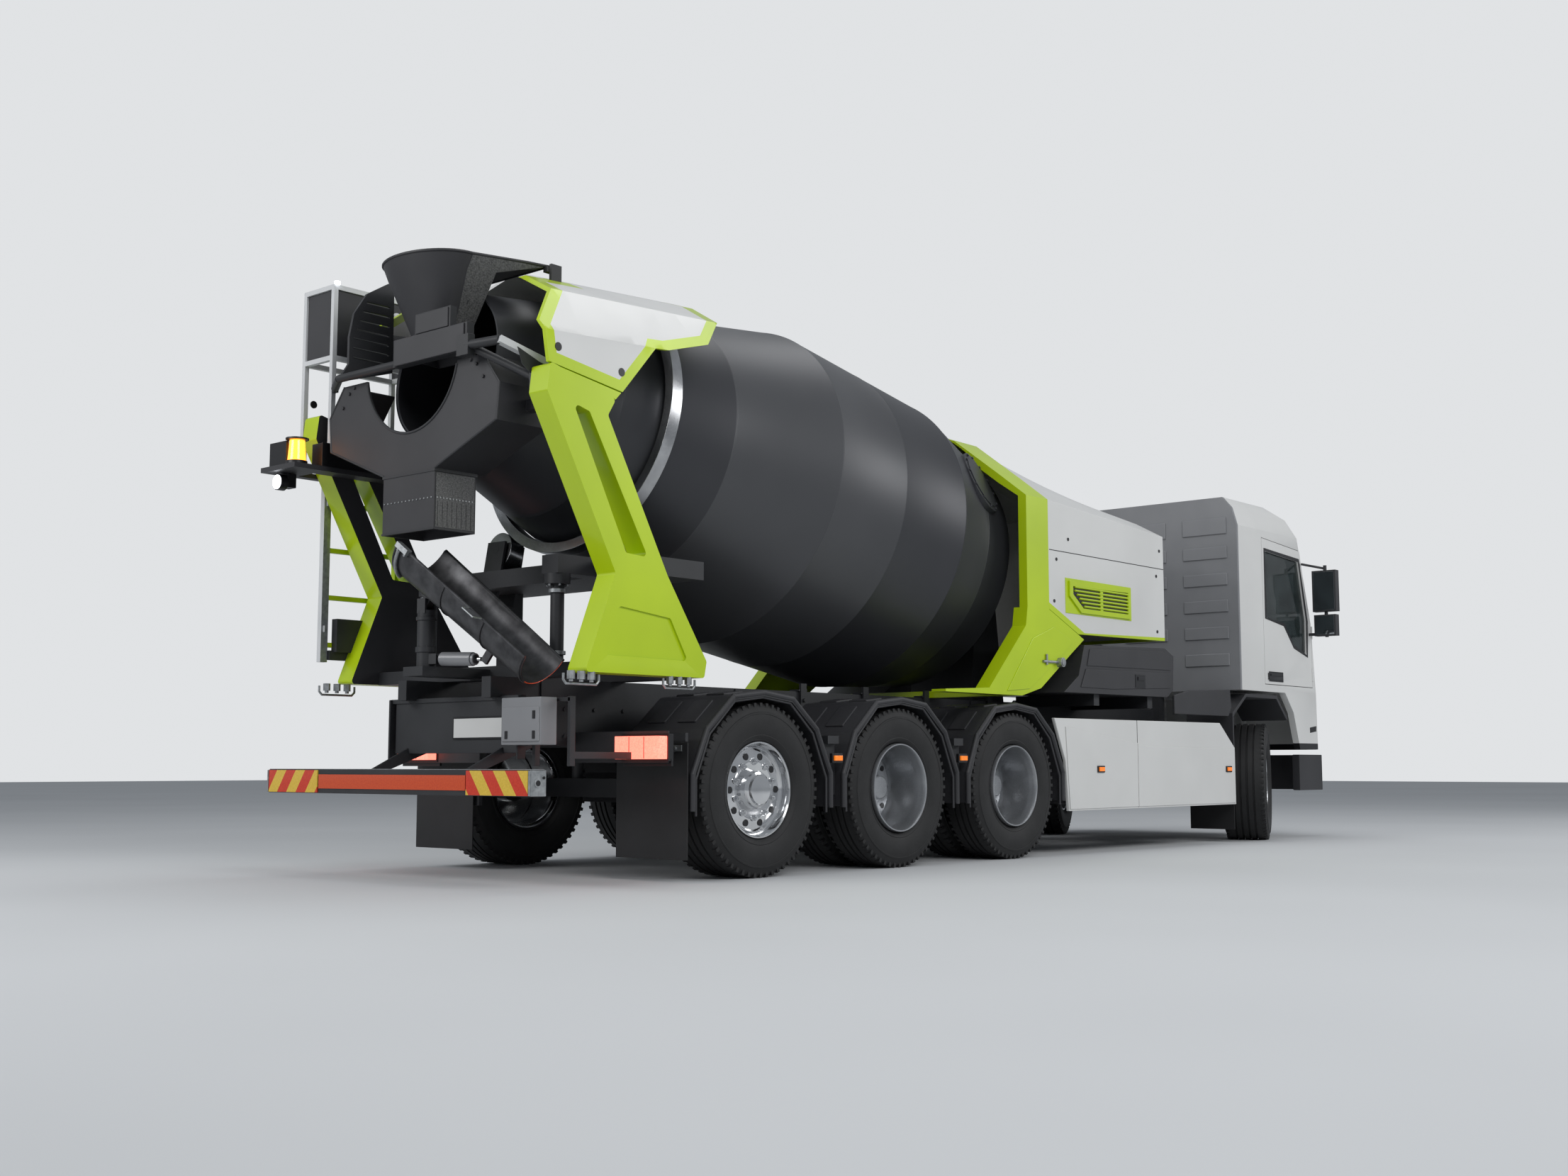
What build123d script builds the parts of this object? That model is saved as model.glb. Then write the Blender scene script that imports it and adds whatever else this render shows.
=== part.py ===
from build123d import *
import os
from math import atan2, cos, degrees, radians, sin, tan

# Eight-wheel concrete mixer truck: +X forward, +Y left, +Z up, ground at z = 0.
# All lengths are millimetres. The origin is the middle of the footprint on the ground.

# Overall layout
overall_length = 10100
rear_overhang = 1900
axle_pitch = 1370
wheelbase = 4090
body_half_width = 1250
running_gap = 0.3
pin_play = 0.1
panel_gap = 6

rear_end_x = -overall_length / 2
tag_x = rear_end_x + rear_overhang
drive_rear_x = tag_x + axle_pitch
drive_front_x = drive_rear_x + axle_pitch
front_x = drive_front_x + wheelbase
front_end_x = overall_length / 2

# Wheels
tyre_radius = 520
bead_radius = 290
single_tyre_width = 385
twin_tyre_width = 290
twin_spacing = 335
tyre_outer_y = body_half_width - 10
disc_thickness = 16
rim_wall = 14
hub_radius = 150
spindle_radius = 45
spindle_reach = 110
hand_hole_count = 10
hand_hole_radius = 22
hand_hole_circle = 205

# Steering
kingpin_y = tyre_outer_y - 260
kingpin_radius = 25
steer_rest = 22
steer_arm = 120
track_rod_z = 400
track_rod_radius = 20

# Chassis
rail_half_width = 430
rail_flange = 80
rail_web = 14
rail_bottom = 780
rail_top = 1050
rail_rear_x = tag_x - 1250
rail_front_x = front_x + 900
subframe_top = 1170
subframe_rear_x = tag_x - 1420
subframe_front_x = front_x - 560

# Cowls
cowl_half_width = body_half_width - 50
bezel_height = 5

# Mudguards
guard_outer_y = body_half_width
guard_inner_y = 640
guard_wall = 30
skirt_inner_y = body_half_width - 28
guard_foot_z = 410
guard_back_foot = -620
guard_front_foot = 640
front_guard_back = 600
post_depth = 22
flap_thickness = 8

# Drum
drum_tilt = 10.05
drum_axis_z = 2763
drum_radius = 1130
drum_wall = 12
drum_mouth_s = -1474
drum_mouth_radius = 470
drum_rear_seam_s = 927
drum_front_seam_s = 2342
drum_head_s = 3180
drum_head_radius = 950
drum_nose_s = 3470
drum_nose_radius = 330
ring_s = -370
ring_width = 90
ring_height = 67.2
roller_radius = 120
roller_width = 110
roller_angle = 35

# Platform
deck_z = 2460
deck_inner_y = body_half_width - 390
deck_outer_y = body_half_width - 25
basket_low = 3185
basket_top = 3635
basket_tube = 15
basket_rear_x = tag_x - 1625
basket_front_x = tag_x - 965
basket_inner_y = deck_inner_y + 35
basket_outer_y = deck_outer_y - 35
panel_thickness = 4
panel_hole_radius = 45

# Hopper and chute
hopper_hinge_x = tag_x - 1080
hopper_hinge_z = 3600
hopper_rim_z = 3620
hopper_wall = 14
frame_bar_x = tag_x - 1765
frame_bar_z = 2985
frame_bar_reach = 620
frame_bar_radius = 24
guard_plate_thickness = 20
guard_slots = 7
chute_x = tag_x - 1550
chute_heading = -79
chute_slope = 37
chute_length = 900
chute_pivot_z = 1600
swivel_top_z = 1560
strut_foot_r = 75
strut_foot_z = 1275
strut_eye_s = 560
strut_eye_drop = 0

# Equipment boxes
box_rear_x = tag_x + 3480
box_rear_floor_z = 1215
box_floor_slope = 0.0062

# Cab
cab_rear_x = front_x - 480
cab_floor_z = 1330
cab_wall = 60
cab_apron_z = 815
cab_roof_z = 3060
pivot_x = front_x + 1250
pivot_z = 960
pivot_y = 390
pivot_radius = 20
door_rear_x = front_x + 20
door_front_x = front_x + 1040
hinge_barrel_radius = 12
hinge_pin_radius = 6
hinge_levels = (1520, 1920)
hinge_height = 40
glass_inset = 18
glass_thickness = 8
bumper_top = 765
bumper_bottom = 435


def block(x0, x1, y0, y1, z0, z1):
    middle = ((x0 + x1) / 2, (y0 + y1) / 2, (z0 + z1) / 2)
    return Pos(*middle) * Box(abs(x1 - x0), abs(y1 - y0), abs(z1 - z0))


def polygon_face(points, radius=0):
    face = Face(Wire.make_polygon([Vector(*p) for p in points], close=True))
    if radius:
        face = face.fillet_2d(radius, face.vertices())
    return face


def prism(face, *reach):
    # sweeps a flat face straight along the vector "reach"
    reach = Vector(*reach)
    if face.normal_at().dot(reach) < 0:
        face = -face
    return extrude(face, amount=reach.length, dir=reach.normalized())


def plate_xz(points, y0, y1, radius=0):
    return prism(polygon_face([(x, y0, z) for x, z in points], radius), 0, y1 - y0, 0)


def plate_yz(points, x0, x1, radius=0):
    return prism(polygon_face([(x0, y, z) for y, z in points], radius), x1 - x0, 0, 0)


def plate_xy(points, z0, z1, radius=0):
    return prism(polygon_face([(x, y, z0) for x, y in points], radius), 0, 0, z1 - z0)


def rod(start, end, radius):
    start, end = Vector(*start), Vector(*end)
    span = end - start
    place = Plane(origin=start, z_dir=span)
    return place * Cylinder(radius, span.length, align=(Align.CENTER, Align.CENTER, Align.MIN))


def left_copy(shape):
    return mirror(shape, about=Plane.XZ)


def both_sides(shape):
    return [shape, left_copy(shape)]


def spun_about_y(points):
    # points are (radius, y) pairs of a closed section, turned about the Y axis
    face = polygon_face([(r, y, 0) for r, y in points])
    return revolve(face, axis=Axis.Y)


def save(name, *shapes):
    solids = []
    for shape in shapes:
        solids += list(shape.solids())
    body = solids[0] if len(solids) == 1 else Compound(children=solids)
    export_step(body, f"parts/{name}.step")


# Wheels
def tyre_section(width):
    half = width / 2
    side = [(bead_radius, half - 40), (bead_radius + 60, half - 8), (bead_radius + 130, half),
            (tyre_radius - 40, half - 12), (tyre_radius - 6, half - 40), (tyre_radius, half - 80)]
    return side + [(r, -y) for r, y in reversed(side)]


def tyre(width, middle_y):
    return Pos(0, middle_y, 0) * spun_about_y(tyre_section(width))


def barrel(width, middle_y):
    half = width / 2 - 30
    outer = bead_radius - running_gap
    inner = outer - rim_wall
    lip = bead_radius - running_gap
    section = [(inner - 12, -half - 30), (lip, -half - 30), (lip, half + 30), (inner - 12, half + 30),
               (inner - 12, half), (inner, half - 12), (inner, -half + 12), (inner - 12, -half)]
    return Pos(0, middle_y, 0) * spun_about_y(section)


def disc_with_holes(disc_y, dish):
    # a flat wheel disc with a dished rim joint and a ring of hand holes
    reach = bead_radius - rim_wall + 2
    section = [(0, disc_y), (hub_radius + 20, disc_y), (reach - 30, disc_y - dish), (reach, disc_y - dish),
               (reach, disc_y - dish - disc_thickness), (reach - 40, disc_y - dish - disc_thickness),
               (hub_radius + 10, disc_y - disc_thickness), (0, disc_y - disc_thickness)]
    disc = spun_about_y(section)
    for step in range(hand_hole_count):
        turn = Rot(0, 360 / hand_hole_count * step, 0)
        hole = Pos(hand_hole_circle, disc_y, 0) * Rot(90, 0, 0) * Cylinder(hand_hole_radius, 200)
        disc -= turn * hole
    return disc


def hub(inner_y, outer_y, radius, cap_y):
    return rod((0, inner_y, 0), (0, outer_y, 0), radius) + rod((0, outer_y, 0), (0, cap_y, 0), radius * 0.62)


def spindle_bore(inner_y):
    return rod((0, inner_y - 1, 0), (0, inner_y + spindle_reach, 0), spindle_radius + running_gap)


single_middle_y = tyre_outer_y - single_tyre_width / 2
twin_outer_y = tyre_outer_y - twin_tyre_width / 2
twin_inner_y = twin_outer_y - twin_spacing
knuckle_wall = 24
knuckle_face_y = kingpin_y + 60 + knuckle_wall
single_hub_inner_y = knuckle_face_y + 6
twin_disc_y = (twin_outer_y + twin_inner_y) / 2 + disc_thickness / 2
twin_hub_inner_y = twin_disc_y - 110


def single_wheel():
    disc_y = single_middle_y + 110
    wheel = barrel(single_tyre_width, single_middle_y) + disc_with_holes(disc_y, 0)
    wheel += hub(single_hub_inner_y, disc_y + 50, 105, disc_y + 68)
    return wheel - spindle_bore(single_hub_inner_y)


def twin_wheel():
    wheel = barrel(twin_tyre_width, twin_outer_y) + barrel(twin_tyre_width, twin_inner_y)
    reach, thick = twin_spacing / 2 - twin_tyre_width / 2 + 20, bead_radius - rim_wall - running_gap
    middle = (twin_outer_y + twin_inner_y) / 2
    wheel += spun_about_y([(thick, middle - reach), (thick - 12, middle - reach), (thick - 12, middle + reach),
                           (thick, middle + reach)])
    wheel += disc_with_holes(twin_disc_y, 0)
    wheel += hub(twin_hub_inner_y, twin_disc_y + 40, 115, twin_disc_y + 130)
    return wheel - spindle_bore(twin_hub_inner_y)


def at_axle(shape, x):
    return Pos(x, 0, tyre_radius) * shape


def steered(shape, side):
    # side is +1 on the left; the wheels are parked turned to the left
    pin = Pos(front_x, side * kingpin_y, 0)
    back = Pos(-front_x, -side * kingpin_y, 0)
    return pin * Rot(0, 0, steer_rest) * back * shape


single_tyre = tyre(single_tyre_width, single_middle_y)
single_rim = single_wheel()
twin_tyres = [tyre(twin_tyre_width, twin_outer_y), tyre(twin_tyre_width, twin_inner_y)]
twin_rim = twin_wheel()


def make_wheels():
    for side, word in ((1, "left"), (-1, "right")):
        def flip(shape):
            return shape if side > 0 else left_copy(shape)
        save(f"tyre_front_{word}", steered(at_axle(flip(single_tyre), front_x), side))
        save(f"wheel_front_{word}", steered(at_axle(flip(single_rim), front_x), side))
        save(f"tyre_tag_{word}", at_axle(flip(single_tyre), tag_x))
        save(f"wheel_tag_{word}", at_axle(flip(single_rim), tag_x))
        for place, x in (("rear", drive_rear_x), ("mid", drive_front_x)):
            save(f"tyres_drive_{place}_{word}", *[at_axle(flip(shape), x) for shape in twin_tyres])
            save(f"wheels_drive_{place}_{word}", at_axle(flip(twin_rim), x))


# Steering knuckles and track rod
fork_low_z = 445
fork_high_z = 625
fork_lug = 45
fork_lug_radius = 52
eye_low_z = fork_low_z + fork_lug + 5
eye_high_z = fork_high_z - fork_lug - 5


def knuckle():
    # left side, wheels straight ahead, before it is turned to its parked angle
    x, y = front_x, kingpin_y
    lugs = rod((x, y, fork_low_z), (x, y, fork_low_z + fork_lug), fork_lug_radius)
    lugs += rod((x, y, fork_high_z - fork_lug), (x, y, fork_high_z), fork_lug_radius)
    wall_y = knuckle_face_y - knuckle_wall
    plate = block(x - 60, x + 60, wall_y, knuckle_face_y, fork_low_z, fork_high_z)
    bridges = block(x - 40, x + 40, y, wall_y, fork_low_z, fork_low_z + fork_lug)
    bridges += block(x - 40, x + 40, y, wall_y, fork_high_z - fork_lug, fork_high_z)
    spindle_end = single_hub_inner_y + spindle_reach - 8
    spindle = rod((x, wall_y, tyre_radius), (x, spindle_end, tyre_radius), spindle_radius)
    arm = block(x - steer_arm, x, y - 22, y + 22, fork_low_z, fork_low_z + 18)
    arm += rod((x - steer_arm, y, fork_low_z), (x - steer_arm, y, fork_low_z + 18), 26)
    pin = rod((x - steer_arm, y, track_rod_z - 18), (x - steer_arm, y, fork_low_z), 11)
    body = lugs + plate + bridges + spindle + arm + pin
    return body - rod((x, y, fork_low_z - 1), (x, y, fork_high_z + 1), kingpin_radius + pin_play)


def track_rod():
    offset = Vector(-steer_arm, 0, 0).rotate(Axis.Z, steer_rest)
    x, shift = front_x + offset.X, offset.Y
    ends = [(x, side * kingpin_y + shift) for side in (1, -1)]
    bar = rod((x, ends[1][1], track_rod_z), (x, ends[0][1], track_rod_z), track_rod_radius)
    for ex, ey in ends:
        bar += rod((ex, ey, track_rod_z - 16), (ex, ey, track_rod_z + 16), 30)
        bar -= rod((ex, ey, track_rod_z - 40), (ex, ey, track_rod_z + 40), 11 + pin_play)
    return bar


def make_steering():
    save("knuckle_left", steered(knuckle(), 1))
    save("knuckle_right", steered(left_copy(knuckle()), -1))
    save("track_rod", track_rod())


# Axles, springs and drive line
spring_y = 430 - 36
pinion_reach = 330


def front_axle():
    x = front_x
    beam = block(x - 45, x + 45, -700, 700, 455, 545)
    for side in (1, -1):
        rise_y = kingpin_y - 62
        rise = plate_yz([(side * 690, 455), (side * rise_y, 495), (side * rise_y, 575), (side * 690, 545)],
                        x - 45, x + 45)
        eye = rod((x, side * kingpin_y, eye_low_z), (x, side * kingpin_y, eye_high_z), 46)
        beam += rise + eye
        beam += block(x - 40, x + 40, side * (kingpin_y - 65), side * (kingpin_y - 20), eye_low_z, eye_high_z)
        beam += rod((x, side * kingpin_y, fork_low_z - 4), (x, side * kingpin_y, fork_high_z + 4), kingpin_radius)
    return beam


def drive_axle(x):
    tube_end = twin_hub_inner_y + spindle_reach - 8
    neck = twin_hub_inner_y - 6
    axle = rod((x, -neck, tyre_radius), (x, neck, tyre_radius), 78)
    axle += rod((x, -tube_end, tyre_radius), (x, tube_end, tyre_radius), spindle_radius)
    axle += Pos(x, 0, tyre_radius) * Sphere(215)
    axle += rod((x, 0, tyre_radius + 30), (x + pinion_reach, 0, tyre_radius + 30), 90)
    return axle


def tag_axle():
    end = single_hub_inner_y + spindle_reach - 8
    neck = single_hub_inner_y - 6
    beam = block(tag_x - 65, tag_x + 65, -760, 760, tyre_radius - 60, tyre_radius + 60)
    beam += rod((tag_x, -neck, tyre_radius), (tag_x, neck, tyre_radius), 60)
    return beam + rod((tag_x, -end, tyre_radius), (tag_x, end, tyre_radius), spindle_radius)


def front_springs():
    parts = []
    for side in (1, -1):
        y0, y1 = side * (spring_y - 40), side * (spring_y + 40)
        leaf = plate_xz([(front_x - 760, 765), (front_x - 60, 560), (front_x + 60, 560), (front_x + 760, 765),
                         (front_x + 760, 740), (front_x + 60, 545), (front_x - 60, 545), (front_x - 760, 740)],
                        y0, y1)
        hangers = block(front_x - 800, front_x - 740, y0, y1, 720, rail_bottom)
        hangers += block(front_x + 740, front_x + 800, y0, y1, 720, rail_bottom)
        parts.append(leaf + hangers)
    return parts


def air_springs():
    parts = []
    for x in (tag_x, drive_rear_x, drive_front_x):
        for side in (1, -1):
            seat = tyre_radius + (60 if x == tag_x else 78)
            bellow = rod((x, side * 390, seat - 6), (x, side * 390, rail_bottom), 38)
            parts.append(bellow)
    return parts


def make_axles():
    front = front_axle()
    for spring in front_springs():
        front += spring
    save("front_axle_beam", front)
    rear = [drive_axle(drive_rear_x), drive_axle(drive_front_x), tag_axle()]
    posts = air_springs()
    pairs = {0: posts[2:4], 1: posts[4:6], 2: posts[0:2]}
    for number in range(3):
        for post in pairs[number]:
            rear[number] += post
    save("rear_axles", *rear)
    motor_half = rail_half_width - rail_flange - running_gap
    motor = block(front_x - 1150, front_x - 350, -motor_half, motor_half, 640, 1000)
    shaft = rod((drive_front_x + pinion_reach - 20, 0, tyre_radius + 30), (front_x - 1150, 0, 720), 50)
    shaft -= block(drive_front_x, drive_front_x + pinion_reach + running_gap, -100, 100, 400, 800)
    save("drive_line", motor + shaft, *drum_drive())


# Chassis
def box_floor_z(x):
    # underside of the equipment boxes, which rises a little towards the front
    return box_rear_floor_z + (x - box_rear_x) * box_floor_slope


def rail(side):
    outer = side * rail_half_width
    inner = side * (rail_half_width - rail_flange)
    web = block(rail_rear_x, rail_front_x, outer, side * (rail_half_width - rail_web), rail_bottom, rail_top)
    low = block(rail_rear_x, rail_front_x, outer, inner, rail_bottom, rail_bottom + rail_web)
    high = block(rail_rear_x, rail_front_x, outer, inner, rail_top - rail_web, rail_top)
    sub = block(subframe_rear_x, subframe_front_x, outer, inner, rail_top, subframe_top)
    return web + low + high + sub


def cross_member(x, z0, z1, width=90, reach=None):
    reach = reach if reach else rail_half_width - rail_web
    return block(x - width / 2, x + width / 2, -reach, reach, z0, z1)


def make_chassis():
    frame = rail(1) + rail(-1)
    for x in (rail_rear_x + 60, tag_x - 640, tag_x + 690, drive_rear_x + 690, drive_front_x + 700, front_x - 1300,
              front_x - 150, rail_front_x - 60):
        frame += cross_member(x, rail_bottom + rail_web, rail_top - rail_web)
    # outriggers between the mudguards' feet
    back_foot, front_foot = guard_back_foot - running_gap, guard_front_foot + running_gap
    posts = [(tag_x + back_foot - post_depth, tag_x + back_foot), (tag_x + front_foot, drive_rear_x + back_foot),
             (drive_rear_x + front_foot, drive_front_x + back_foot), (drive_front_x + front_foot, drive_front_x + 690)]
    for x0, x1 in posts:
        for side in (1, -1):
            frame += block(x0, x1, side * rail_half_width, side * (guard_outer_y - 35), 800, 850)
            for y in (700, guard_outer_y - 90):
                frame += block(x0, x1, side * (y - 20), side * (y + 20), 480, 810)
    for x in (drive_front_x + 1300, drive_front_x + 2150):
        for side in (1, -1):
            seat_z = box_floor_z(x - 40) - running_gap
            frame += block(x - 40, x + 40, side * rail_half_width, side * (cowl_half_width - 50), subframe_top - 40,
                           seat_z)
    # cab hinge horns and rear cab rests
    for side in (1, -1):
        horn = plate_xz([(rail_front_x - 200, rail_bottom + 40), (rail_front_x, rail_bottom + 20), (pivot_x, pivot_z - 50),
                         (pivot_x + 42, pivot_z), (pivot_x, pivot_z + 45), (rail_front_x, rail_top),
                         (rail_front_x - 200, rail_top)],
                        side * (pivot_y - 25), side * (pivot_y + 25))
        frame += horn
        frame += rod((pivot_x, side * (pivot_y - 25), pivot_z), (pivot_x, side * (pivot_y + 70), pivot_z), pivot_radius)
        frame += block(cab_rear_x + 30, cab_rear_x + 130, side * 350, side * 430, rail_top, cab_floor_z - running_gap)
    save("chassis_frame", frame)

    # underrun bar on two hangers
    bar_back, bar_depth = tag_x - 1786, 100
    bar_half = body_half_width - 40
    bar = block(bar_back, bar_back + bar_depth, -bar_half, bar_half, 502, 641)
    for side in (1, -1):
        hanger = plate_xz([(bar_back + 20, 560), (bar_back + 100, 560), (rail_rear_x + 200, rail_bottom + 10),
                           (rail_rear_x + 200, rail_top - 60), (rail_rear_x - 40, rail_top - 60),
                           (rail_rear_x - 60, rail_bottom)],
                          side * (rail_half_width + running_gap), side * (rail_half_width + 16))
        bar += hanger
    arms = []
    for side in (1, -1):
        arms.append(block(tag_x - 790, tag_x - 780, side * (rail_half_width + running_gap),
                          side * (guard_outer_y - 25), 680, 860)
                    + block(tag_x - 780, tag_x - 740, side * (rail_half_width + running_gap), side * 520, 790, 850))
    save("underrun_bar", bar, *arms)
    boards = []
    for side in (1, -1):
        boards.append(block(bar_back - 8, bar_back, side * 690, side * (body_half_width - 55), 506, 637))
    boards.append(block(bar_back - 5, bar_back, -680, 680, 530, 612))
    save("warning_boards", *boards)


# Mudguards, flaps, skirts
def mudguard(x, side):
    shape = [(guard_back_foot, guard_foot_z - 100), (guard_back_foot, 620), (-500, 880), (-270, 1075), (0, 1105),
             (270, 1075), (500, 895), (guard_front_foot, 620), (guard_front_foot, guard_foot_z - 100)]
    outer = polygon_face([(x + px, side * guard_inner_y, z) for px, z in shape], 60)
    inner = offset(outer, amount=-guard_wall).face()
    width = side * (guard_outer_y - guard_inner_y)
    band = prism(outer, 0, width, 0) - prism(inner, 0, width, 0)
    return band - block(x - 900, x + 900, side * (guard_inner_y - 10), side * (guard_outer_y + 10), 0, guard_foot_z)


def make_guards():
    arches = [mudguard(x, side) for side in (1, -1) for x in (tag_x, drive_rear_x, drive_front_x)]
    save("rear_mudguards", *arches)
    flaps = []
    for side in (1, -1):
        tag_seat = tag_x + guard_back_foot - post_depth - 2 * running_gap
        front_seat = front_x - front_guard_back - running_gap
        flaps.append(block(tag_seat - flap_thickness, tag_seat, side * 660, side * (guard_outer_y - 10), 130, 795))
        flaps.append(block(front_seat - flap_thickness, front_seat, side * 800, side * (guard_outer_y - 30),
                           110, 470))
    save("mud_flaps", *flaps)
    lamps = []
    for side in (1, -1):
        lamps.append(block(tag_x - 860, tag_x - 790, side * 860, side * (guard_outer_y - 30), 700, 830))
    save("tail_lamps", *lamps)

    skirts = []
    skirt_x0, skirt_x1 = drive_front_x + 645, front_x - 630
    for side in (1, -1):
        skirt = plate_xz([(skirt_x0 + 60, 325), (skirt_x1, 330), (skirt_x1, 820), (skirt_x1 - 270, 1028),
                          (skirt_x0 - 130, 1016), (skirt_x0 + 20, 700)], side * skirt_inner_y, side * body_half_width)
        skirts.append(skirt)
    save("side_skirts", *skirts)

    # front mudguards stand on the chassis behind and over the steered wheels
    guards = []
    for side in (1, -1):
        outline = [(-front_guard_back, 430), (-front_guard_back, 1120), (-330, 1300), (300, 1300), (520, 1100),
                   (500, 1078), (290, 1270), (-320, 1270), (-578, 1100), (-578, 430)]
        guard = plate_xz([(front_x + x, z) for x, z in outline], side * 780, side * (guard_outer_y - 25))
        stay = block(front_x - front_guard_back, front_x - 560, side * (rail_half_width + running_gap),
                     side * (guard_outer_y - 50), 990, 1040)
        guards.append(guard + stay)
    save("front_mudguards", *guards)


# Drum
def drum_place():
    return Pos(tag_x, 0, drum_axis_z) * Rot(0, drum_tilt, 0)


def drum_radius_at(s):
    if s < drum_rear_seam_s:
        share = (s - drum_mouth_s) / (drum_rear_seam_s - drum_mouth_s)
        return drum_mouth_radius + share * (drum_radius - drum_mouth_radius)
    if s < drum_front_seam_s:
        return drum_radius
    share = (s - drum_front_seam_s) / (drum_head_s - drum_front_seam_s)
    return drum_radius + share * (drum_head_radius - drum_radius)


ring_radius = drum_radius_at(ring_s + ring_width / 2) + ring_height


def spun_about_drum(points):
    face = Face(Wire.make_polygon([Vector(s, 0, r) for s, r in points], close=True))
    return drum_place() * revolve(face, axis=Axis.X)


def drum_outline(extra=0):
    return [(drum_mouth_s, drum_mouth_radius + extra), (drum_rear_seam_s, drum_radius + extra),
            (drum_front_seam_s, drum_radius + extra), (drum_head_s, drum_head_radius + extra),
            (drum_nose_s - 120, 640 + extra), (drum_nose_s, drum_nose_radius + extra)]


def make_drum():
    outer = drum_outline()
    inner = [(drum_nose_s - drum_wall, 0), (drum_nose_s - drum_wall, drum_nose_radius - 20),
             (drum_nose_s - 120 - drum_wall, 640 - 14), (drum_head_s - drum_wall, drum_head_radius - drum_wall),
             (drum_front_seam_s, drum_radius - drum_wall),
             (drum_rear_seam_s, drum_radius - drum_wall),
             (drum_mouth_s, drum_mouth_radius - drum_wall)]
    shell = spun_about_drum(outer + [(drum_nose_s, 160), (drum_nose_s + 60, 160), (drum_nose_s + 60, 0)] + inner)
    save("drum_shell", shell)
    ring_inner = drum_radius_at(ring_s + ring_width / 2) + 1
    ring = spun_about_drum([(ring_s - ring_width / 2, ring_inner), (ring_s - ring_width / 2, ring_radius),
                            (ring_s + ring_width / 2, ring_radius), (ring_s + ring_width / 2, ring_inner)])
    save("drum_ring", ring)


def drum_drive():
    gap_s = drum_nose_s + 60 + 1
    gearbox = rod((0, 0, 0), (420, 0, 0), 210) + rod((420, 0, 0), (560, 0, 0), 150)
    gearbox = drum_place() * Pos(gap_s, 0, 0) * gearbox
    stand = plate_xz([(tag_x + 3560, subframe_top), (tag_x + 4020, subframe_top), (tag_x + 3900, 2050),
                      (tag_x + 3640, 2100)], -300, 300)
    return [gearbox + stand]


def roller_centre(side):
    reach = ring_radius + roller_radius + running_gap
    down = reach * cos(radians(roller_angle))
    return side * reach * sin(radians(roller_angle)), -down


def roller_place(side):
    y, drop = roller_centre(side)
    return drum_place() * Pos(ring_s, y, drop) * Rot(0, 90, 0)


def make_rollers():
    for side, word in ((1, "left"), (-1, "right")):
        wheel = Cylinder(roller_radius, roller_width) - Cylinder(30 + running_gap, roller_width + 10)
        save(f"drum_roller_{word}", roller_place(side) * wheel)


# Rear frame that carries the rollers, pillars, cowl and chutes
pillar_outer_y = body_half_width - 100
pillar_inner_y = pillar_outer_y - 150
pocket_depth = 12
bridge_z0 = 1770
bridge_z1 = 1880
bridge_x0 = tag_x - 1130
bridge_x1 = tag_x - 330


def make_rear_frame():
    pillars = []
    outline = [(-1640, 2840), (-1660, 2680), (-1140, 1730), (-1360, 1172), (-420, 1172), (-400, 1270), (-730, 1750),
               (-1210, 2610), (-1150, 2710)]
    slot = [(-1470, 2640), (-1350, 2610), (-890, 1840), (-1060, 1850)]
    pocket = [(-1105, 1548), (-703, 1504), (-558, 1265), (-1209, 1270)]
    for side in (1, -1):
        pillar = plate_xz([(tag_x + x, z) for x, z in outline], side * pillar_inner_y, side * pillar_outer_y, 20)
        pillar -= plate_xz([(tag_x + x, z) for x, z in slot], side * (pillar_inner_y - 5),
                           side * (pillar_outer_y + 5), 20)
        pillar -= plate_xz([(tag_x + x, z) for x, z in pocket], side * (pillar_outer_y - pocket_depth),
                           side * (pillar_outer_y + 5), 20)
        pillars.append(pillar)
    save("rear_pillars", *pillars)

    reach = pillar_inner_y - running_gap
    low = block(bridge_x0 - 20, bridge_x0 + 120, -reach, reach, subframe_top, subframe_top + 80)
    low += block(bridge_x1 - 160, bridge_x1 - 40, -reach, reach, subframe_top, subframe_top + 80)
    low += block(tag_x - 1640, bridge_x0, -90, 90, subframe_top + 6, subframe_top + 60)
    low += rod((chute_x, 0, subframe_top + 50), (chute_x, 0, swivel_top_z - 60), 30)
    high = block(bridge_x0 + 330, bridge_x1 + 60, -reach, reach, bridge_z0, bridge_z1)
    bridge = low + high
    for side in (1, -1):
        bridge += rod((bridge_x0 + 60, side * 590, subframe_top + 70), (bridge_x0 + 60, side * 590, bridge_z0 - 20), 40)
        bridge += rod((bridge_x0 + 60, side * 590, bridge_z0 - 60), (bridge_x0 + 60, side * 590, bridge_z0), 75)
        bridge += block(bridge_x0, bridge_x0 + 400, side * 520, side * 660, bridge_z0, bridge_z1)
        bridge += block(bridge_x1 - 150, bridge_x1 - 50, side * 520, side * 660, subframe_top + 70, bridge_z0 + 10)
        for end in (-1, 1):
            cheek = Pos(150, 0, end * (roller_width / 2 + 20)) * Box(400, 170, 18)
            bridge += roller_place(side) * cheek
        bridge += roller_place(side) * Cylinder(30, roller_width + 60)
        bridge -= roller_place(side) * Pos(0, 0, 0) * (Cylinder(roller_radius + 12, roller_width + 10)
                                                       - Cylinder(31, roller_width + 12))
    save("rear_bridge", bridge)


def arch_outline(low_z, side_z, shoulder_z, mid_z, crown_z, inset=0):
    right = [(pillar_outer_y - inset, low_z), (pillar_outer_y - inset, side_z),
             (960 - inset * 0.7, shoulder_z - inset * 0.7),
             (520, mid_z - inset), (0, crown_z - inset)]
    return right + [(-y, z) for y, z in reversed(right[:-1])]


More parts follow.
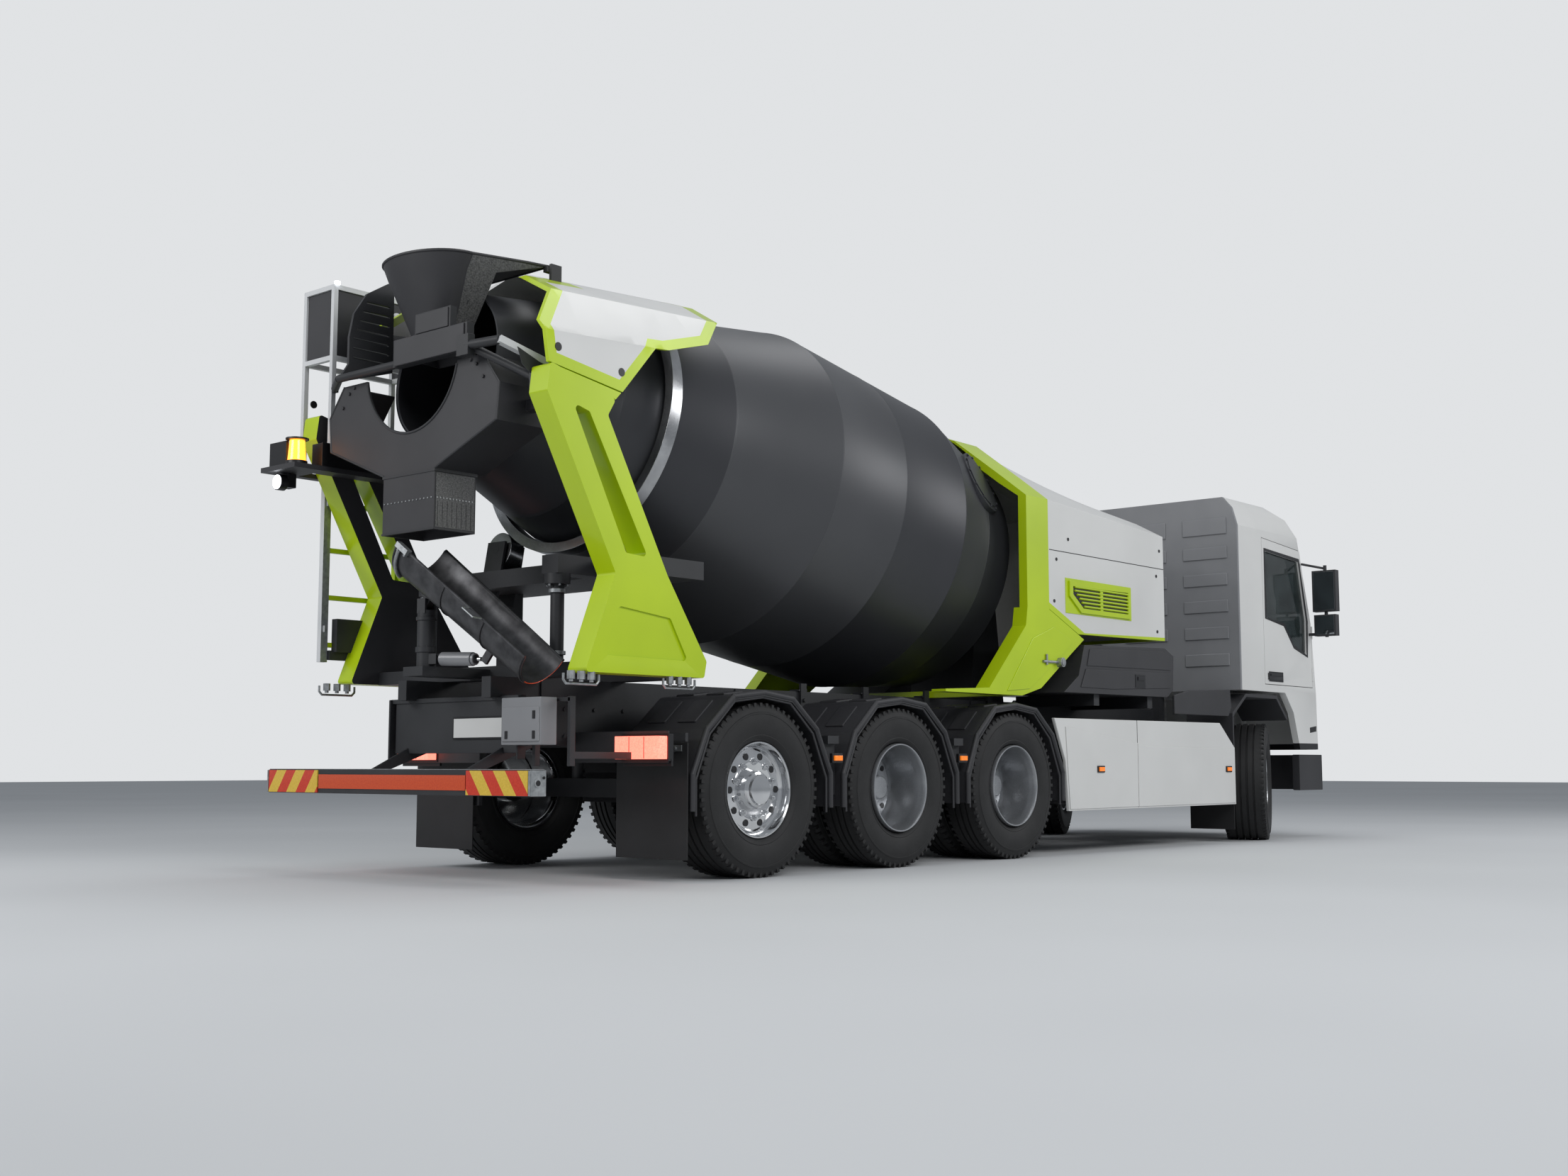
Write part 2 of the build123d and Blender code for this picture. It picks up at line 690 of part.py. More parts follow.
def lofted(first, first_x, last, last_x):
    a = Wire.make_polygon([Vector(first_x, y, z) for y, z in first], close=True)
    b = Wire.make_polygon([Vector(last_x, y, z) for y, z in last], close=True)
    return Solid.make_loft([a, b], True)


def make_cowls():
    x0, x1 = tag_x - 1720, tag_x + 680
    outer = lofted(arch_outline(2700, 3010, 3300, 3490, 3665), x0, arch_outline(2700, 3150, 3430, 3640, 3815), x1)
    inner = lofted(arch_outline(2600, 3010, 3300, 3490, 3665, 25), x0 - 1,
                   arch_outline(2600, 3150, 3430, 3640, 3815, 25), x1 + 1)
    shell = outer - inner
    side = [(-1690, 3070), (-1650, 2839.3), (-1100, 2760), (-840, 3060), (-730, 3070), (-330, 3190), (110, 3600),
            (640, 3900), (-860, 3900), (-1010, 3535), (-1310, 3505)]
    shell = shell & plate_xz([(tag_x + x, z) for x, z in side], -1300, 1300)
    shell -= block(tag_x - 1800, tag_x - 900, deck_inner_y - 80, body_half_width + 50, 2600, 3900)
    for side in (1, -1):
        shell += block(hopper_hinge_x - 20, hopper_hinge_x + 60, side * 512, side * 532, 3490, hopper_hinge_z + 25)
        shell += rod((hopper_hinge_x, side * 495, hopper_hinge_z), (hopper_hinge_x, side * 532, hopper_hinge_z), 12)
    save("rear_cowl", shell)

    # front cowl between drum and cab
    rear_x, end_x = tag_x + 3290, tag_x + 5080

    def section(low, side_z, a, b, crown, inset=0):
        right = [(cowl_half_width - inset, low), (cowl_half_width - inset, side_z), (960, a - inset),
                 (560, b - inset), (0, crown - inset)]
        return right + [(-y, z) for y, z in reversed(right[:-1])]
    outer = lofted(section(1660, 2665, 2830, 3110, 3310), rear_x, section(1690, 2560, 2690, 2810, 2880), end_x)
    inner = lofted(section(1600, 2665, 2830, 3110, 3310, 40), rear_x - 5,
                   section(1600, 2560, 2690, 2810, 2880, 40), end_x - 40)
    corner = [(3200, 1500), (3200, 1834), (3290, 1834), (3788, 1634), (3860, 1500)]
    cowl = outer - inner - plate_xz([(tag_x + x, z) for x, z in corner], -1300, 1300)
    for side in (1, -1):
        cowl += block(tag_x + 3520, tag_x + 4520, side * (cowl_half_width - 20), side * (cowl_half_width + bezel_height),
                      1820, 2090)
    save("front_cowl", cowl)

    # lime arch round the drum's front with its two legs
    arch_x0, arch_x1 = tag_x + 2990, tag_x + 3290 - running_gap
    outer = plate_yz(section(1560, 2665, 2850, 3150, 3350), arch_x0, arch_x1)
    inner = plate_yz(section(1500, 2665, 2850, 3150, 3350, 70), arch_x0 - 5, arch_x1 + 5)
    arch = outer - inner - spun_about_drum(drum_outline(30) + [(drum_nose_s, 0), (drum_mouth_s, 0)])
    leg = [(2990, 1830), (2965, 1690), (2475, 1215), (1940, 1190), (1940, 1172), (2900, 1172), (3160, 1235),
           (3600, 1515), (3785, 1630), (3290, 1830)]
    for side in (1, -1):
        arch += plate_xz([(tag_x + x, z) for x, z in leg], side * (cowl_half_width - 120), side * cowl_half_width)
    brace_half = cowl_half_width - 100
    arch += block(tag_x + 2780, tag_x + 2900, -brace_half, brace_half, subframe_top, subframe_top + 50)
    save("front_arch", arch)

    boxes = []
    floor = [(x, box_floor_z(tag_x + x)) for x in (5100, 3480)]
    box = [(3790, 1590), (4160, 1600), (5070, 1630), (5220, 1570), (5200, 1285)] + floor + [(3700, 1350)]
    for side in (1, -1):
        boxes.append(plate_xz([(tag_x + x, z) for x, z in box], side * 560, side * cowl_half_width))
        boxes.append(block(drive_front_x + 725, front_x - 930, side * (rail_half_width + running_gap),
                           side * (skirt_inner_y - running_gap), 380, 980))
    save("equipment_boxes", *boxes)


# Collector, hopper and chute
def chute_turn():
    # a local frame with +X along the chute in plan, on the swivel axis
    return Pos(chute_x, 0, 0) * Rot(0, 0, chute_heading)


def strut_head():
    slope = radians(chute_slope)
    along, drop = strut_eye_s * cos(slope) + strut_eye_drop * sin(slope), strut_eye_s * sin(slope)
    return Vector(along, 0, chute_pivot_z - drop + strut_eye_drop * cos(slope))


def make_rear_chutes():
    back = tag_x - 1700
    outer = [(-660, 2950), (-800, 2770), (-780, 2560), (-240, 2350), (240, 2350), (780, 2560), (800, 2770), (660, 2950)]
    inner = [(-640, 2990), (-640, 2940), (-783, 2764), (-764, 2571), (-225, 2362), (-225, 2300), (225, 2300),
             (225, 2362), (764, 2571), (783, 2764), (640, 2940), (640, 2990)]
    funnel = plate_yz(outer, back, back + 360)
    funnel -= plate_yz(inner, back + 15, back + 370)
    funnel -= rod((back - 10, 0, 3020), (back + 40, 0, 3020), 430)
    throat = block(back, back + 300, -240, 240, 2000, 2360) - block(back + 15, back + 285, -225, 225, 1990, 2370)
    funnel += throat
    for side in (1, -1):
        funnel += block(back + 200, back + 280, side * 780, side * (pillar_inner_y - running_gap), 2640, 2700)
    save("discharge_collector", funnel)

    # charging hopper, hinged at its front edge, with its spout in the drum's mouth
    levels = {
        hopper_rim_z: [(-1810, 150), (-1750, 260), (-1550, 360), (-1220, 460), (-1080, 488)],
        3530: [(-1775, 140), (-1720, 240), (-1560, 320), (-1440, 380), (-1400, 390)],
        3220: [(-1640, 90), (-1620, 150), (-1540, 190), (-1460, 210), (-1420, 210)],
        3050: [(-1560, 80), (-1545, 130), (-1480, 160), (-1400, 170), (-1360, 170)],
    }

    def ring_wire(z, half, shrink=0, shift=0):
        points = half + [(x, -y) for x, y in reversed(half)]
        middle = sum(x for x, y in points) / len(points)
        moved = []
        for x, y in points:
            share = 1 - shrink / ((x - middle) ** 2 + y ** 2) ** 0.5
            moved.append(Vector(tag_x + middle + (x - middle) * share, y * share, z + shift))
        return Wire.make_polygon(moved, close=True)
    stack = sorted(levels)
    outer = Solid.make_loft([ring_wire(z, levels[z]) for z in stack], True)
    ends = {stack[0]: -1, stack[-1]: 1}
    inner = Solid.make_loft([ring_wire(z, levels[z], hopper_wall, ends.get(z, 0)) for z in stack], True)
    hopper = outer - inner
    for side in (1, -1):
        ear = block(hopper_hinge_x - 30, hopper_hinge_x + 18, side * 470, side * 506, hopper_hinge_z - 20,
                    hopper_hinge_z + 20)
        hopper += ear
        hopper -= rod((hopper_hinge_x, side * 490, hopper_hinge_z), (hopper_hinge_x, side * 540, hopper_hinge_z),
                      12 + pin_play)
    save("charging_hopper", hopper)

    # chute on its swivel post
    tube = rod((chute_x, 0, subframe_top + 61), (chute_x, 0, swivel_top_z), 52)
    tube += chute_turn() * block(40, 100, -27, -15, 1245, 1305)
    tube += chute_turn() * block(40, 100, 15, 27, 1245, 1305)
    tube += chute_turn() * block(-30, 30, -50, -32, swivel_top_z - 20, chute_pivot_z + 26)
    tube += chute_turn() * block(-30, 30, 32, 50, swivel_top_z - 20, chute_pivot_z + 26)
    tube += chute_turn() * rod((0, -50, chute_pivot_z), (0, 50, chute_pivot_z), 14)
    tube += chute_turn() * rod((strut_foot_r, -26, strut_foot_z), (strut_foot_r, 26, strut_foot_z), 10)
    tube -= rod((chute_x, 0, subframe_top), (chute_x, 0, swivel_top_z - 55), 30 + pin_play)
    save("chute_swivel", tube)

    rise, run = sin(radians(chute_slope)), cos(radians(chute_slope))
    trough_top = 40
    outer = Solid.make_cone(205, 170, chute_length + 240)
    inner = Solid.make_cone(195, 160, chute_length + 242)
    trough = (Pos(-240, 0, 0) * Rot(0, 90, 0) * outer) - (Pos(-241, 0, 0) * Rot(0, 90, 0) * inner)
    trough -= block(-300, chute_length + 50, -300, 300, 0, 300)
    trough = Pos(0, 0, 200 + trough_top) * trough
    ear = block(-28, 28, -28, 28, -26, 60) - rod((0, -60, 0), (0, 60, 0), 14 + pin_play)
    eye = block(strut_eye_s - 24, strut_eye_s + 24, -10, 10, strut_eye_drop - 22, 62)
    chute = trough + ear + eye
    save("main_chute", chute_turn() * Pos(0, 0, chute_pivot_z) * Rot(0, chute_slope, 0) * chute)

    foot, head = Vector(strut_foot_r, 0, strut_foot_z), strut_head()
    span = head - foot
    aim = span.normalized()
    barrel = rod(foot + aim * 44, foot + aim * 300, 26) + rod(foot, foot + aim * 50, 11)
    barrel += rod(foot - Vector(0, 12, 0), foot + Vector(0, 12, 0), 22)
    barrel -= rod(foot - Vector(0, 30, 0), foot + Vector(0, 30, 0), 10 + pin_play)
    barrel -= rod(foot + aim * 60, foot + aim * 301, 12 + running_gap)
    save("strut_barrel", chute_turn() * barrel)
    piston = rod(foot + aim * 90, head - aim * 34, 12)
    save("strut_rod", chute_turn() * piston)


def make_hopper_frame():
    # bar behind the hopper on two arms, with its name plate and the slatted guard at the basket's side
    x, z, reach = frame_bar_x, frame_bar_z, frame_bar_reach
    bar = rod((x, -reach, z), (x, reach, z), frame_bar_radius)
    bar += block(x - 25, x + 25, -reach, 50, z - 25, z + 135)
    bar += block(x - 25, x + 20, -470, -150, z + 125, z + 255)
    foot_y = pillar_inner_y - running_gap
    bar += rod((x, -reach, z), (tag_x - 1600, -foot_y + 22, 2780), frame_bar_radius)
    bar += block(tag_x - 1640, tag_x - 1560, -foot_y + 22, -foot_y, 2710, 2810)
    post_y = basket_inner_y - basket_tube - running_gap
    bar += rod((x, reach, z), (basket_rear_x, post_y - 15, z), frame_bar_radius)
    bar += block(basket_rear_x - basket_tube, basket_rear_x + basket_tube, post_y - 30, post_y, z - 25, z + 25)
    outline = [(-1780, 2985), (-1700, 2985), (-1400, 3080), (-1400, 3640), (-1440, 3640), (-1600, 3540), (-1690, 3400),
               (-1720, 3250), (-1720, 3080)]
    plate_y = reach - 10 - guard_plate_thickness
    plate = plate_xz([(tag_x + px, pz) for px, pz in outline], plate_y, plate_y + guard_plate_thickness)
    for row in range(guard_slots):
        low = 3120 + 60 * row
        rear = -1690 + max(0, 22 * (row - 2))
        plate -= block(tag_x + rear, tag_x - 1430, plate_y - 5, plate_y + guard_plate_thickness + 5, low, low + 12)
    save("hopper_frame", bar + plate)


# Cab
def cab_section(z, inset=0):
    levels = {790: (1370, 0), 1330: (1360, 0), 2000: (1290, 0), 2800: (1030, 0), 2960: (880, 45), 3060: (600, 130)}
    keys = sorted(levels)
    z = min(max(z, keys[0]), keys[-1])
    low = max(k for k in keys if k <= z)
    high = min(k for k in keys if k >= z)
    share = 0 if high == low else (z - low) / (high - low)
    front = levels[low][0] + share * (levels[high][0] - levels[low][0]) - inset
    half = body_half_width - levels[low][1] - share * (levels[high][1] - levels[low][1]) - inset
    rear = cab_rear_x + inset
    corner = 190
    return rear, front_x + front, half, corner


def cab_wire(z, level, inset=0):
    rear, front, half, corner = cab_section(level, inset)
    points = [(rear, -half), (front - corner - 60, -half), (front - 60, -half + corner * 0.55),
              (front, -half + corner * 1.9), (front, half - corner * 1.9), (front - 60, half - corner * 0.55),
              (front - corner - 60, half), (rear, half)]
    return Wire.make_polygon([Vector(x, y, z) for x, y in points], close=True)


def cab_form(inset=0, low=None, top=None):
    low = cab_apron_z if low is None else low
    top = cab_roof_z - inset if top is None else top
    levels = sorted(z for z in {low, 1330, 2000, 2800, 2960 - inset * 0.6, top} if low <= z <= top)
    wires = [cab_wire(z, z, inset) for z in levels]
    return Solid.make_loft(wires, True)


def door_outline(grow=0):
    outline = [(20 - grow, 1400 - grow), (20 - grow, 2730 + grow), (830 + grow, 2680 + grow), (1000 + grow, 2050),
               (1040 + grow, 1990), (1040 + grow, 1400 - grow)]
    return [(front_x + x, z) for x, z in outline]


def door_leaf(side):
    return plate_xz(door_outline(), side * (body_half_width - cab_wall), side * body_half_width)


def hinge_barrels(side, radius, shift, height):
    # door hinge barrels or pins on the hinge line, in the middle of the panel gap
    x, y = door_front_x + panel_gap / 2, side * body_half_width
    first, *rest = [rod((x, y, z + shift - height / 2), (x, y, z + shift + height / 2), radius) for z in hinge_levels]
    for shape in rest:
        first = first + shape
    return first


def side_window(side, shrink=0):
    outline = [(80, 2620), (800, 2580), (940, 2030), (930, 1700), (640, 1780), (460, 1970), (80, 2000)]
    face = polygon_face([(front_x + x, side * (body_half_width - 250), z) for x, z in outline], 30)
    if shrink:
        face = offset(face, amount=-shrink).face()
    return prism(face, 0, side * 500, 0)


def screen_prism(shrink=0):
    outline = [(-1080, 2060), (-1030, 2740), (1030, 2740), (1080, 2060)]
    face = polygon_face([(front_x + 600, y, z) for y, z in outline], 60)
    if shrink:
        face = offset(face, amount=-shrink).face()
    return prism(face, 1200, 0, 0)


def make_cab():
    outer = cab_form()
    room = cab_form(cab_wall, low=cab_floor_z + cab_wall)
    below = cab_form(cab_wall, low=cab_apron_z - 10, top=cab_floor_z)
    room_half = body_half_width - cab_wall
    below += block(cab_rear_x - 10, cab_rear_x + 200, -room_half, room_half, 700, cab_floor_z)
    shell = outer - room - below
    arch = plate_xz([(cab_rear_x - 10, 700), (cab_rear_x - 10, 1330), (front_x + 430, 1330), (front_x + 600, 1150),
                     (front_x + 730, 790), (front_x + 730, 700)], -1400, 1400)
    shell -= arch
    for side in (1, -1):
        shell -= plate_xz(door_outline(panel_gap), side * (body_half_width - 150), side * (body_half_width + 150))
        shell -= hinge_barrels(side, hinge_barrel_radius + running_gap, 0, hinge_height)
        shell += hinge_barrels(side, hinge_barrel_radius, hinge_height, hinge_height)
        shell += hinge_barrels(side, hinge_barrel_radius, -hinge_height, hinge_height)
        shell += hinge_barrels(side, hinge_pin_radius, 0, hinge_height + 4)
        lug = block(pivot_x - 30, pivot_x + 30, side * (pivot_y + 31), side * (pivot_y + 60), pivot_z - 30, cab_floor_z + 10)
        shell += lug
        shell -= rod((pivot_x, side * (pivot_y - 30), pivot_z), (pivot_x, side * (pivot_y + 75), pivot_z),
                     pivot_radius + pin_play)
    shell -= screen_prism()
    save("cab_shell", shell)
    skin = cab_form(glass_inset) - cab_form(glass_inset + glass_thickness, low=cab_apron_z - 5)
    save("windscreen", skin & screen_prism(1))
    handle = block(front_x + 80, front_x + 370, 1 - body_half_width, -body_half_width - 12, 1440, 1500)
    door = door_leaf(-1) - side_window(-1) + handle
    for shift in (-hinge_height, hinge_height):
        door -= hinge_barrels(-1, hinge_barrel_radius + running_gap, shift, hinge_height + 2 * running_gap)
    door += hinge_barrels(-1, hinge_barrel_radius, 0, hinge_height - 2 * running_gap)
    door -= hinge_barrels(-1, hinge_pin_radius + pin_play / 2, 0, hinge_height + 2)
    save("door_right", door)
    save("door_left", left_copy(door))
    glass_y = glass_inset - body_half_width
    glass = side_window(-1, 1) & block(front_x - 100, front_x + 1200, glass_y, glass_y + glass_thickness, 1500, 2800)
    save("door_glass_right", glass)
    save("door_glass_left", left_copy(glass))
    for side, word in ((1, "left"), (-1, "right")):
        wall_y, post_y = side * (body_half_width + running_gap), side * (body_half_width + 175)
        heads = block(front_x + 960, front_x + 1040, post_y - 115, post_y + 115, 2110, 2500)
        heads += block(front_x + 960, front_x + 1040, post_y - 105, post_y + 105, 1880, 2080)
        arms = rod((front_x + 840, side * (body_half_width + 12), 2560), (front_x + 1000, post_y, 2520), 11)
        arms += rod((front_x + 1000, wall_y, 1900), (front_x + 1000, post_y, 1900), 14)
        post = rod((front_x + 1000, post_y, 1870), (front_x + 1000, post_y, 2550), 16)
        save(f"mirror_{word}", arms + post + heads)
    seats = []
    for side in (1, -1):
        y = side * 560
        seat = block(front_x - 150, front_x + 330, y - 240, y + 240, 1700, 1820)
        seat += plate_xz([(front_x - 270, 1760), (front_x - 150, 1760), (front_x - 200, 2500), (front_x - 300, 2500)],
                         y - 230, y + 230)
        seat += block(front_x - 60, front_x + 240, y - 150, y + 150, cab_floor_z + cab_wall + running_gap, 1710)
        seats.append(seat)
    dash = plate_xz([(front_x + 950, 1700), (front_x + 1150, 1700), (front_x + 1150, 1980), (front_x + 1100, 2020),
                     (front_x + 900, 1960)], -1020, 1020)
    dash += block(front_x + 1000, front_x + 1180, -300, 300, cab_floor_z + cab_wall + running_gap, 1710)
    save("cab_interior", dash, *seats)

    plan = [(690, 0), (1200, 0), (1370, 170), (1290, 230), (1130, 70), (690, 70)]
    right = [(front_x + x, inset - body_half_width) for x, inset in plan]
    left = [(x, -y) for x, y in right]
    bumper = plate_xy(right[:3] + left[2::-1] + left[:2:-1] + right[3:], bumper_bottom, bumper_top)
    for side in (1, -1):
        bumper += block(rail_front_x - 80, front_x + 1300, side * 350, side * 380, 650, bumper_top)
        bumper += block(rail_front_x - 80, rail_front_x - 20, side * 350, side * 380, 650, rail_bottom - running_gap)
    lamps = []
    for side in (1, -1):
        lamps.append(block(front_x + 1330, front_x + 1370, side * 780, side * 1040, 560, 720))
        bumper -= lamps[-1]
    save("front_bumper", bumper)
    save("headlamps", *lamps)


# Ladder and platform
def make_ladder():
    x0, x1, y = tag_x - 1450, tag_x - 900, deck_outer_y - 40
    ladder = block(x0 - 25, x0 + 25, y - 20, y + 20, 1310, deck_z)
    ladder += block(x1 - 25, x1 + 25, y - 20, y + 20, 1310, deck_z)
    for step in range(4):
        z = 1420 + 300 * step
        ladder += block(x0, x1, y - 15, y + 15, z - 15, z + 15)
    deck = block(rear_end_x, tag_x - 870, deck_inner_y, deck_outer_y, deck_z, deck_z + 30)
    ladder += deck - block(tag_x - 1680, tag_x - 1060, pillar_inner_y - 6, pillar_outer_y + 6, deck_z - 10,
                           deck_z + 40)
    rear, front, inner, outer, tube = basket_rear_x, basket_front_x, basket_inner_y, basket_outer_y, basket_tube
    for px in (rear, front):
        for py in (inner, outer):
            ladder += block(px - tube, px + tube, py - tube, py + tube, deck_z + 20, basket_top)
    for z in (basket_low, basket_top):
        loop = block(rear - tube, front + tube, inner - tube, outer + tube, z - tube, z + tube)
        ladder += loop - block(rear + tube, front - tube, inner + tube, outer - tube, z - 20, z + 20)
    for z in (1500, 2300):
        ladder += block(x0 - 10, x0 + 10, pillar_outer_y + running_gap, y, z, z + 40)
    save("ladder_platform", ladder)

    # sheets between the basket's posts, with a round hole in the one beside the hopper
    inset, half = tube + running_gap, panel_thickness / 2
    low, high = basket_low + inset, basket_top - inset
    side_sheet = block(rear + inset, front - inset, inner - half, inner + half, low, high)
    hole_x, hole_z = front - 185, high - 100
    side_sheet -= rod((hole_x, inner - 10, hole_z), (hole_x, inner + 10, hole_z), panel_hole_radius)
    ends = [block(px - half, px + half, inner + inset, outer - inset, low, high) for px in (rear, front)]
    save("platform_panels", side_sheet, *ends)


def main():
    os.makedirs("parts", exist_ok=True)
    make_wheels()
    make_steering()
    make_axles()
    make_chassis()
    make_guards()
    make_drum()
    make_rollers()
    make_rear_frame()
    make_cowls()
    make_rear_chutes()
    make_hopper_frame()
    make_cab()
    make_ladder()


main()
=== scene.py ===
# %% [markdown]
# A concrete mixer truck seen low from its right rear corner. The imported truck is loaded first, in
# metres, with +X forward, +Y to the driver's left and +Z up. Its solids already stand at their real
# places, so every step below only dresses them: a better finish, or a finer mesh that takes a
# solid's place.

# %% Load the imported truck
from math import atan2, cos, pi, radians, sin

import bmesh
import bpy
from mathutils import Matrix, Vector


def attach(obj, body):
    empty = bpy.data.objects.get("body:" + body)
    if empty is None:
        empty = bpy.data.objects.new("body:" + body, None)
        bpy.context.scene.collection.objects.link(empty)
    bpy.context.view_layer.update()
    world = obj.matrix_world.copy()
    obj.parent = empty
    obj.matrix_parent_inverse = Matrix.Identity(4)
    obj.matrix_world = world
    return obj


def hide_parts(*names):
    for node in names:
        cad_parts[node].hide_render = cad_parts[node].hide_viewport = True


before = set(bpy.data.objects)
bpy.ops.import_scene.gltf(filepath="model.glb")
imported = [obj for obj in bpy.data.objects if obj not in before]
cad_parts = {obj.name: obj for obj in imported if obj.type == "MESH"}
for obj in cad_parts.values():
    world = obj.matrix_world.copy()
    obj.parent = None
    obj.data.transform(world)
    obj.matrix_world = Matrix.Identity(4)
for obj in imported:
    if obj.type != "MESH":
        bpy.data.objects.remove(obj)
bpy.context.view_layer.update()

# %% [markdown]
# A few real sizes are needed again and again: where the axles stand, how the drum leans, and where the door,
# the chute and the steered wheels are. They follow the solids, and most of them were read off the boxes of
# the pieces.

# %% Places on the truck
MM = 0.001
WELD_GAP = 0.0001
tag_x = -3.15
axle_xs = {"tag": tag_x, "drive_rear": tag_x + 1.37, "drive_mid": tag_x + 2.74}
front_x = 3.68
wheel_z = 0.52
tyre_radius = 0.52
drum_tilt = radians(10.05)
drum_axis_z = 2.763
steer_rest = radians(22)
kingpin_y = 0.98
drum_place = Matrix.Translation((tag_x, 0, drum_axis_z)) @ Matrix.Rotation(drum_tilt, 4, "Y")
SIDES = {"left": 1, "right": -1}
print("axles at", axle_xs, "and", front_x)

# %% [markdown]
# Every finish is a small tree of shader nodes. One helper turns a screen colour, written as sRGB
# hex, into the linear light that the shader wants, and one adds a node with its settings and links.
# The patterns read Object coordinates, which are metres on the truck, so a grain of 2 mm is a scale
# of 500.

# %% Colour and node helpers
def hex_colour(code, alpha=1.0):
    channels = [int(code[i:i + 2], 16) / 255 for i in (0, 2, 4)]
    linear = [c / 12.92 if c <= 0.04045 else ((c + 0.055) / 1.055) ** 2.4 for c in channels]
    return (*linear, alpha)


def add_node(tree, kind, settings=None, inputs=None):
    made = tree.nodes.new(kind)
    for key, value in (settings or {}).items():
        setattr(made, key, value)
    for key, value in (inputs or {}).items():
        if isinstance(value, bpy.types.NodeSocket):
            tree.links.new(value, made.inputs[key])
        else:
            made.inputs[key].default_value = value
    return made


def size_scale(millimetres):
    # a noise cell of this size, as a scale on Object coordinates in metres
    return 1 / (millimetres * MM)


def new_material(name):
    material = bpy.data.materials.new(name)
    material.use_nodes = True
    tree = material.node_tree
    tree.nodes.clear()
    output = add_node(tree, "ShaderNodeOutputMaterial")
    shader = add_node(tree, "ShaderNodeBsdfPrincipled")
    tree.links.new(shader.outputs["BSDF"], output.inputs["Surface"])
    return material, tree, shader


def object_noise(tree, millimetres, detail=3.0, roughness=0.55):
    place = add_node(tree, "ShaderNodeTexCoord")
    return add_node(tree, "ShaderNodeTexNoise", {"noise_dimensions": "3D"},
                    {"Vector": place.outputs["Object"], "Scale": size_scale(millimetres),
                     "Detail": detail, "Roughness": roughness})


def ramp(tree, source, stops):
    made = add_node(tree, "ShaderNodeValToRGB", {}, {"Fac": source})
    elements = made.color_ramp.elements
    while len(elements) < len(stops):
        elements.new(0.5)
    for element, (position, colour) in zip(elements, stops):
        element.position = position
        element.color = colour
    return made


# %% [markdown]
# Vehicle paint, plastic, rubber and metal share one recipe. Slow patches shift the colour a little,
# a finer grain drives the roughness, and the finest grain is a bump: orange peel on paint, moulded
# texture on plastic, brushed streaks on steel. The coat is the clear lacquer on top of paint.

# %% The shared finish
def grained(name, dark, light, patch_mm, rough_low, rough_high, grain_mm, bump_mm, metallic=0.0, coat=0.0,
            ior=1.5, coat_rough=0.08, stretch=(1, 1, 1)):
    material, tree, shader = new_material(name)
    patches = object_noise(tree, patch_mm)
    tint = ramp(tree, patches.outputs["Fac"], [(0.3, hex_colour(dark)), (0.7, hex_colour(light))])
    tree.links.new(tint.outputs["Color"], shader.inputs["Base Color"])
    place = add_node(tree, "ShaderNodeTexCoord")
    turned = add_node(tree, "ShaderNodeMapping", {}, {"Vector": place.outputs["Object"], "Scale": stretch})
    grain = add_node(tree, "ShaderNodeTexNoise", {},
                     {"Vector": turned.outputs["Vector"], "Scale": size_scale(grain_mm),
                      "Detail": 4.0, "Roughness": 0.6})
    gloss = add_node(tree, "ShaderNodeMapRange", {},
                     {"Value": grain.outputs["Fac"], "From Min": 0.3, "From Max": 0.7,
                      "To Min": rough_low, "To Max": rough_high})
    tree.links.new(gloss.outputs["Result"], shader.inputs["Roughness"])
    bump = add_node(tree, "ShaderNodeBump", {}, {"Strength": 0.5, "Distance": bump_mm * MM,
                                                 "Height": grain.outputs["Fac"]})
    tree.links.new(bump.outputs["Normal"], shader.inputs["Normal"])
    shader.inputs["Metallic"].default_value = metallic
    shader.inputs["IOR"].default_value = ior
    shader.inputs["Coat Weight"].default_value = coat
    shader.inputs["Coat Roughness"].default_value = coat_rough
    print("finish", name)
    return material


# %% [markdown]
# Paints. The lime and the white are two-pack vehicle enamels under a clear coat, so they show a
# sharp highlight. The drum's anthracite is a satin industrial enamel with a fine sparkle, and the
# frame carries a duller chassis paint.

# %% Paints
lime = grained("lime vehicle enamel", "B0CA00", "BED804", 900, 0.28, 0.38, 3, 0.05, coat=0.4)
white = grained("white vehicle enamel", "D2D2D0", "DCDCDA", 1100, 0.34, 0.44, 3, 0.05, coat=0.25)
drum_paint = grained("anthracite satin enamel", "35363A", "3D3E42", 1400, 0.36, 0.48, 2.4, 0.10,
                     metallic=0.35)
# a paler copy of the drum paint: painted highlight round the drum's waist
drum_painted_highlight = grained("anthracite enamel with painted highlight", "47484B", "505154", 1400, 0.36, 0.48, 2.4, 0.10, metallic=0.35)
frame_paint = grained("dark chassis paint", "232427", "2E2F32", 400, 0.42, 0.60, 4, 0.12)
grey_paint = grained("mid grey cab enamel", "7C7D80", "88898C", 700, 0.34, 0.44, 3, 0.06, coat=0.3)

# %% [markdown]
# Plastics and rubbers. Mudguards, bumpers and covers are moulded polyethylene with a leather-like
# grain of about 2 mm. Tyres are a matt carbon-black rubber, a touch greyer on the tread.

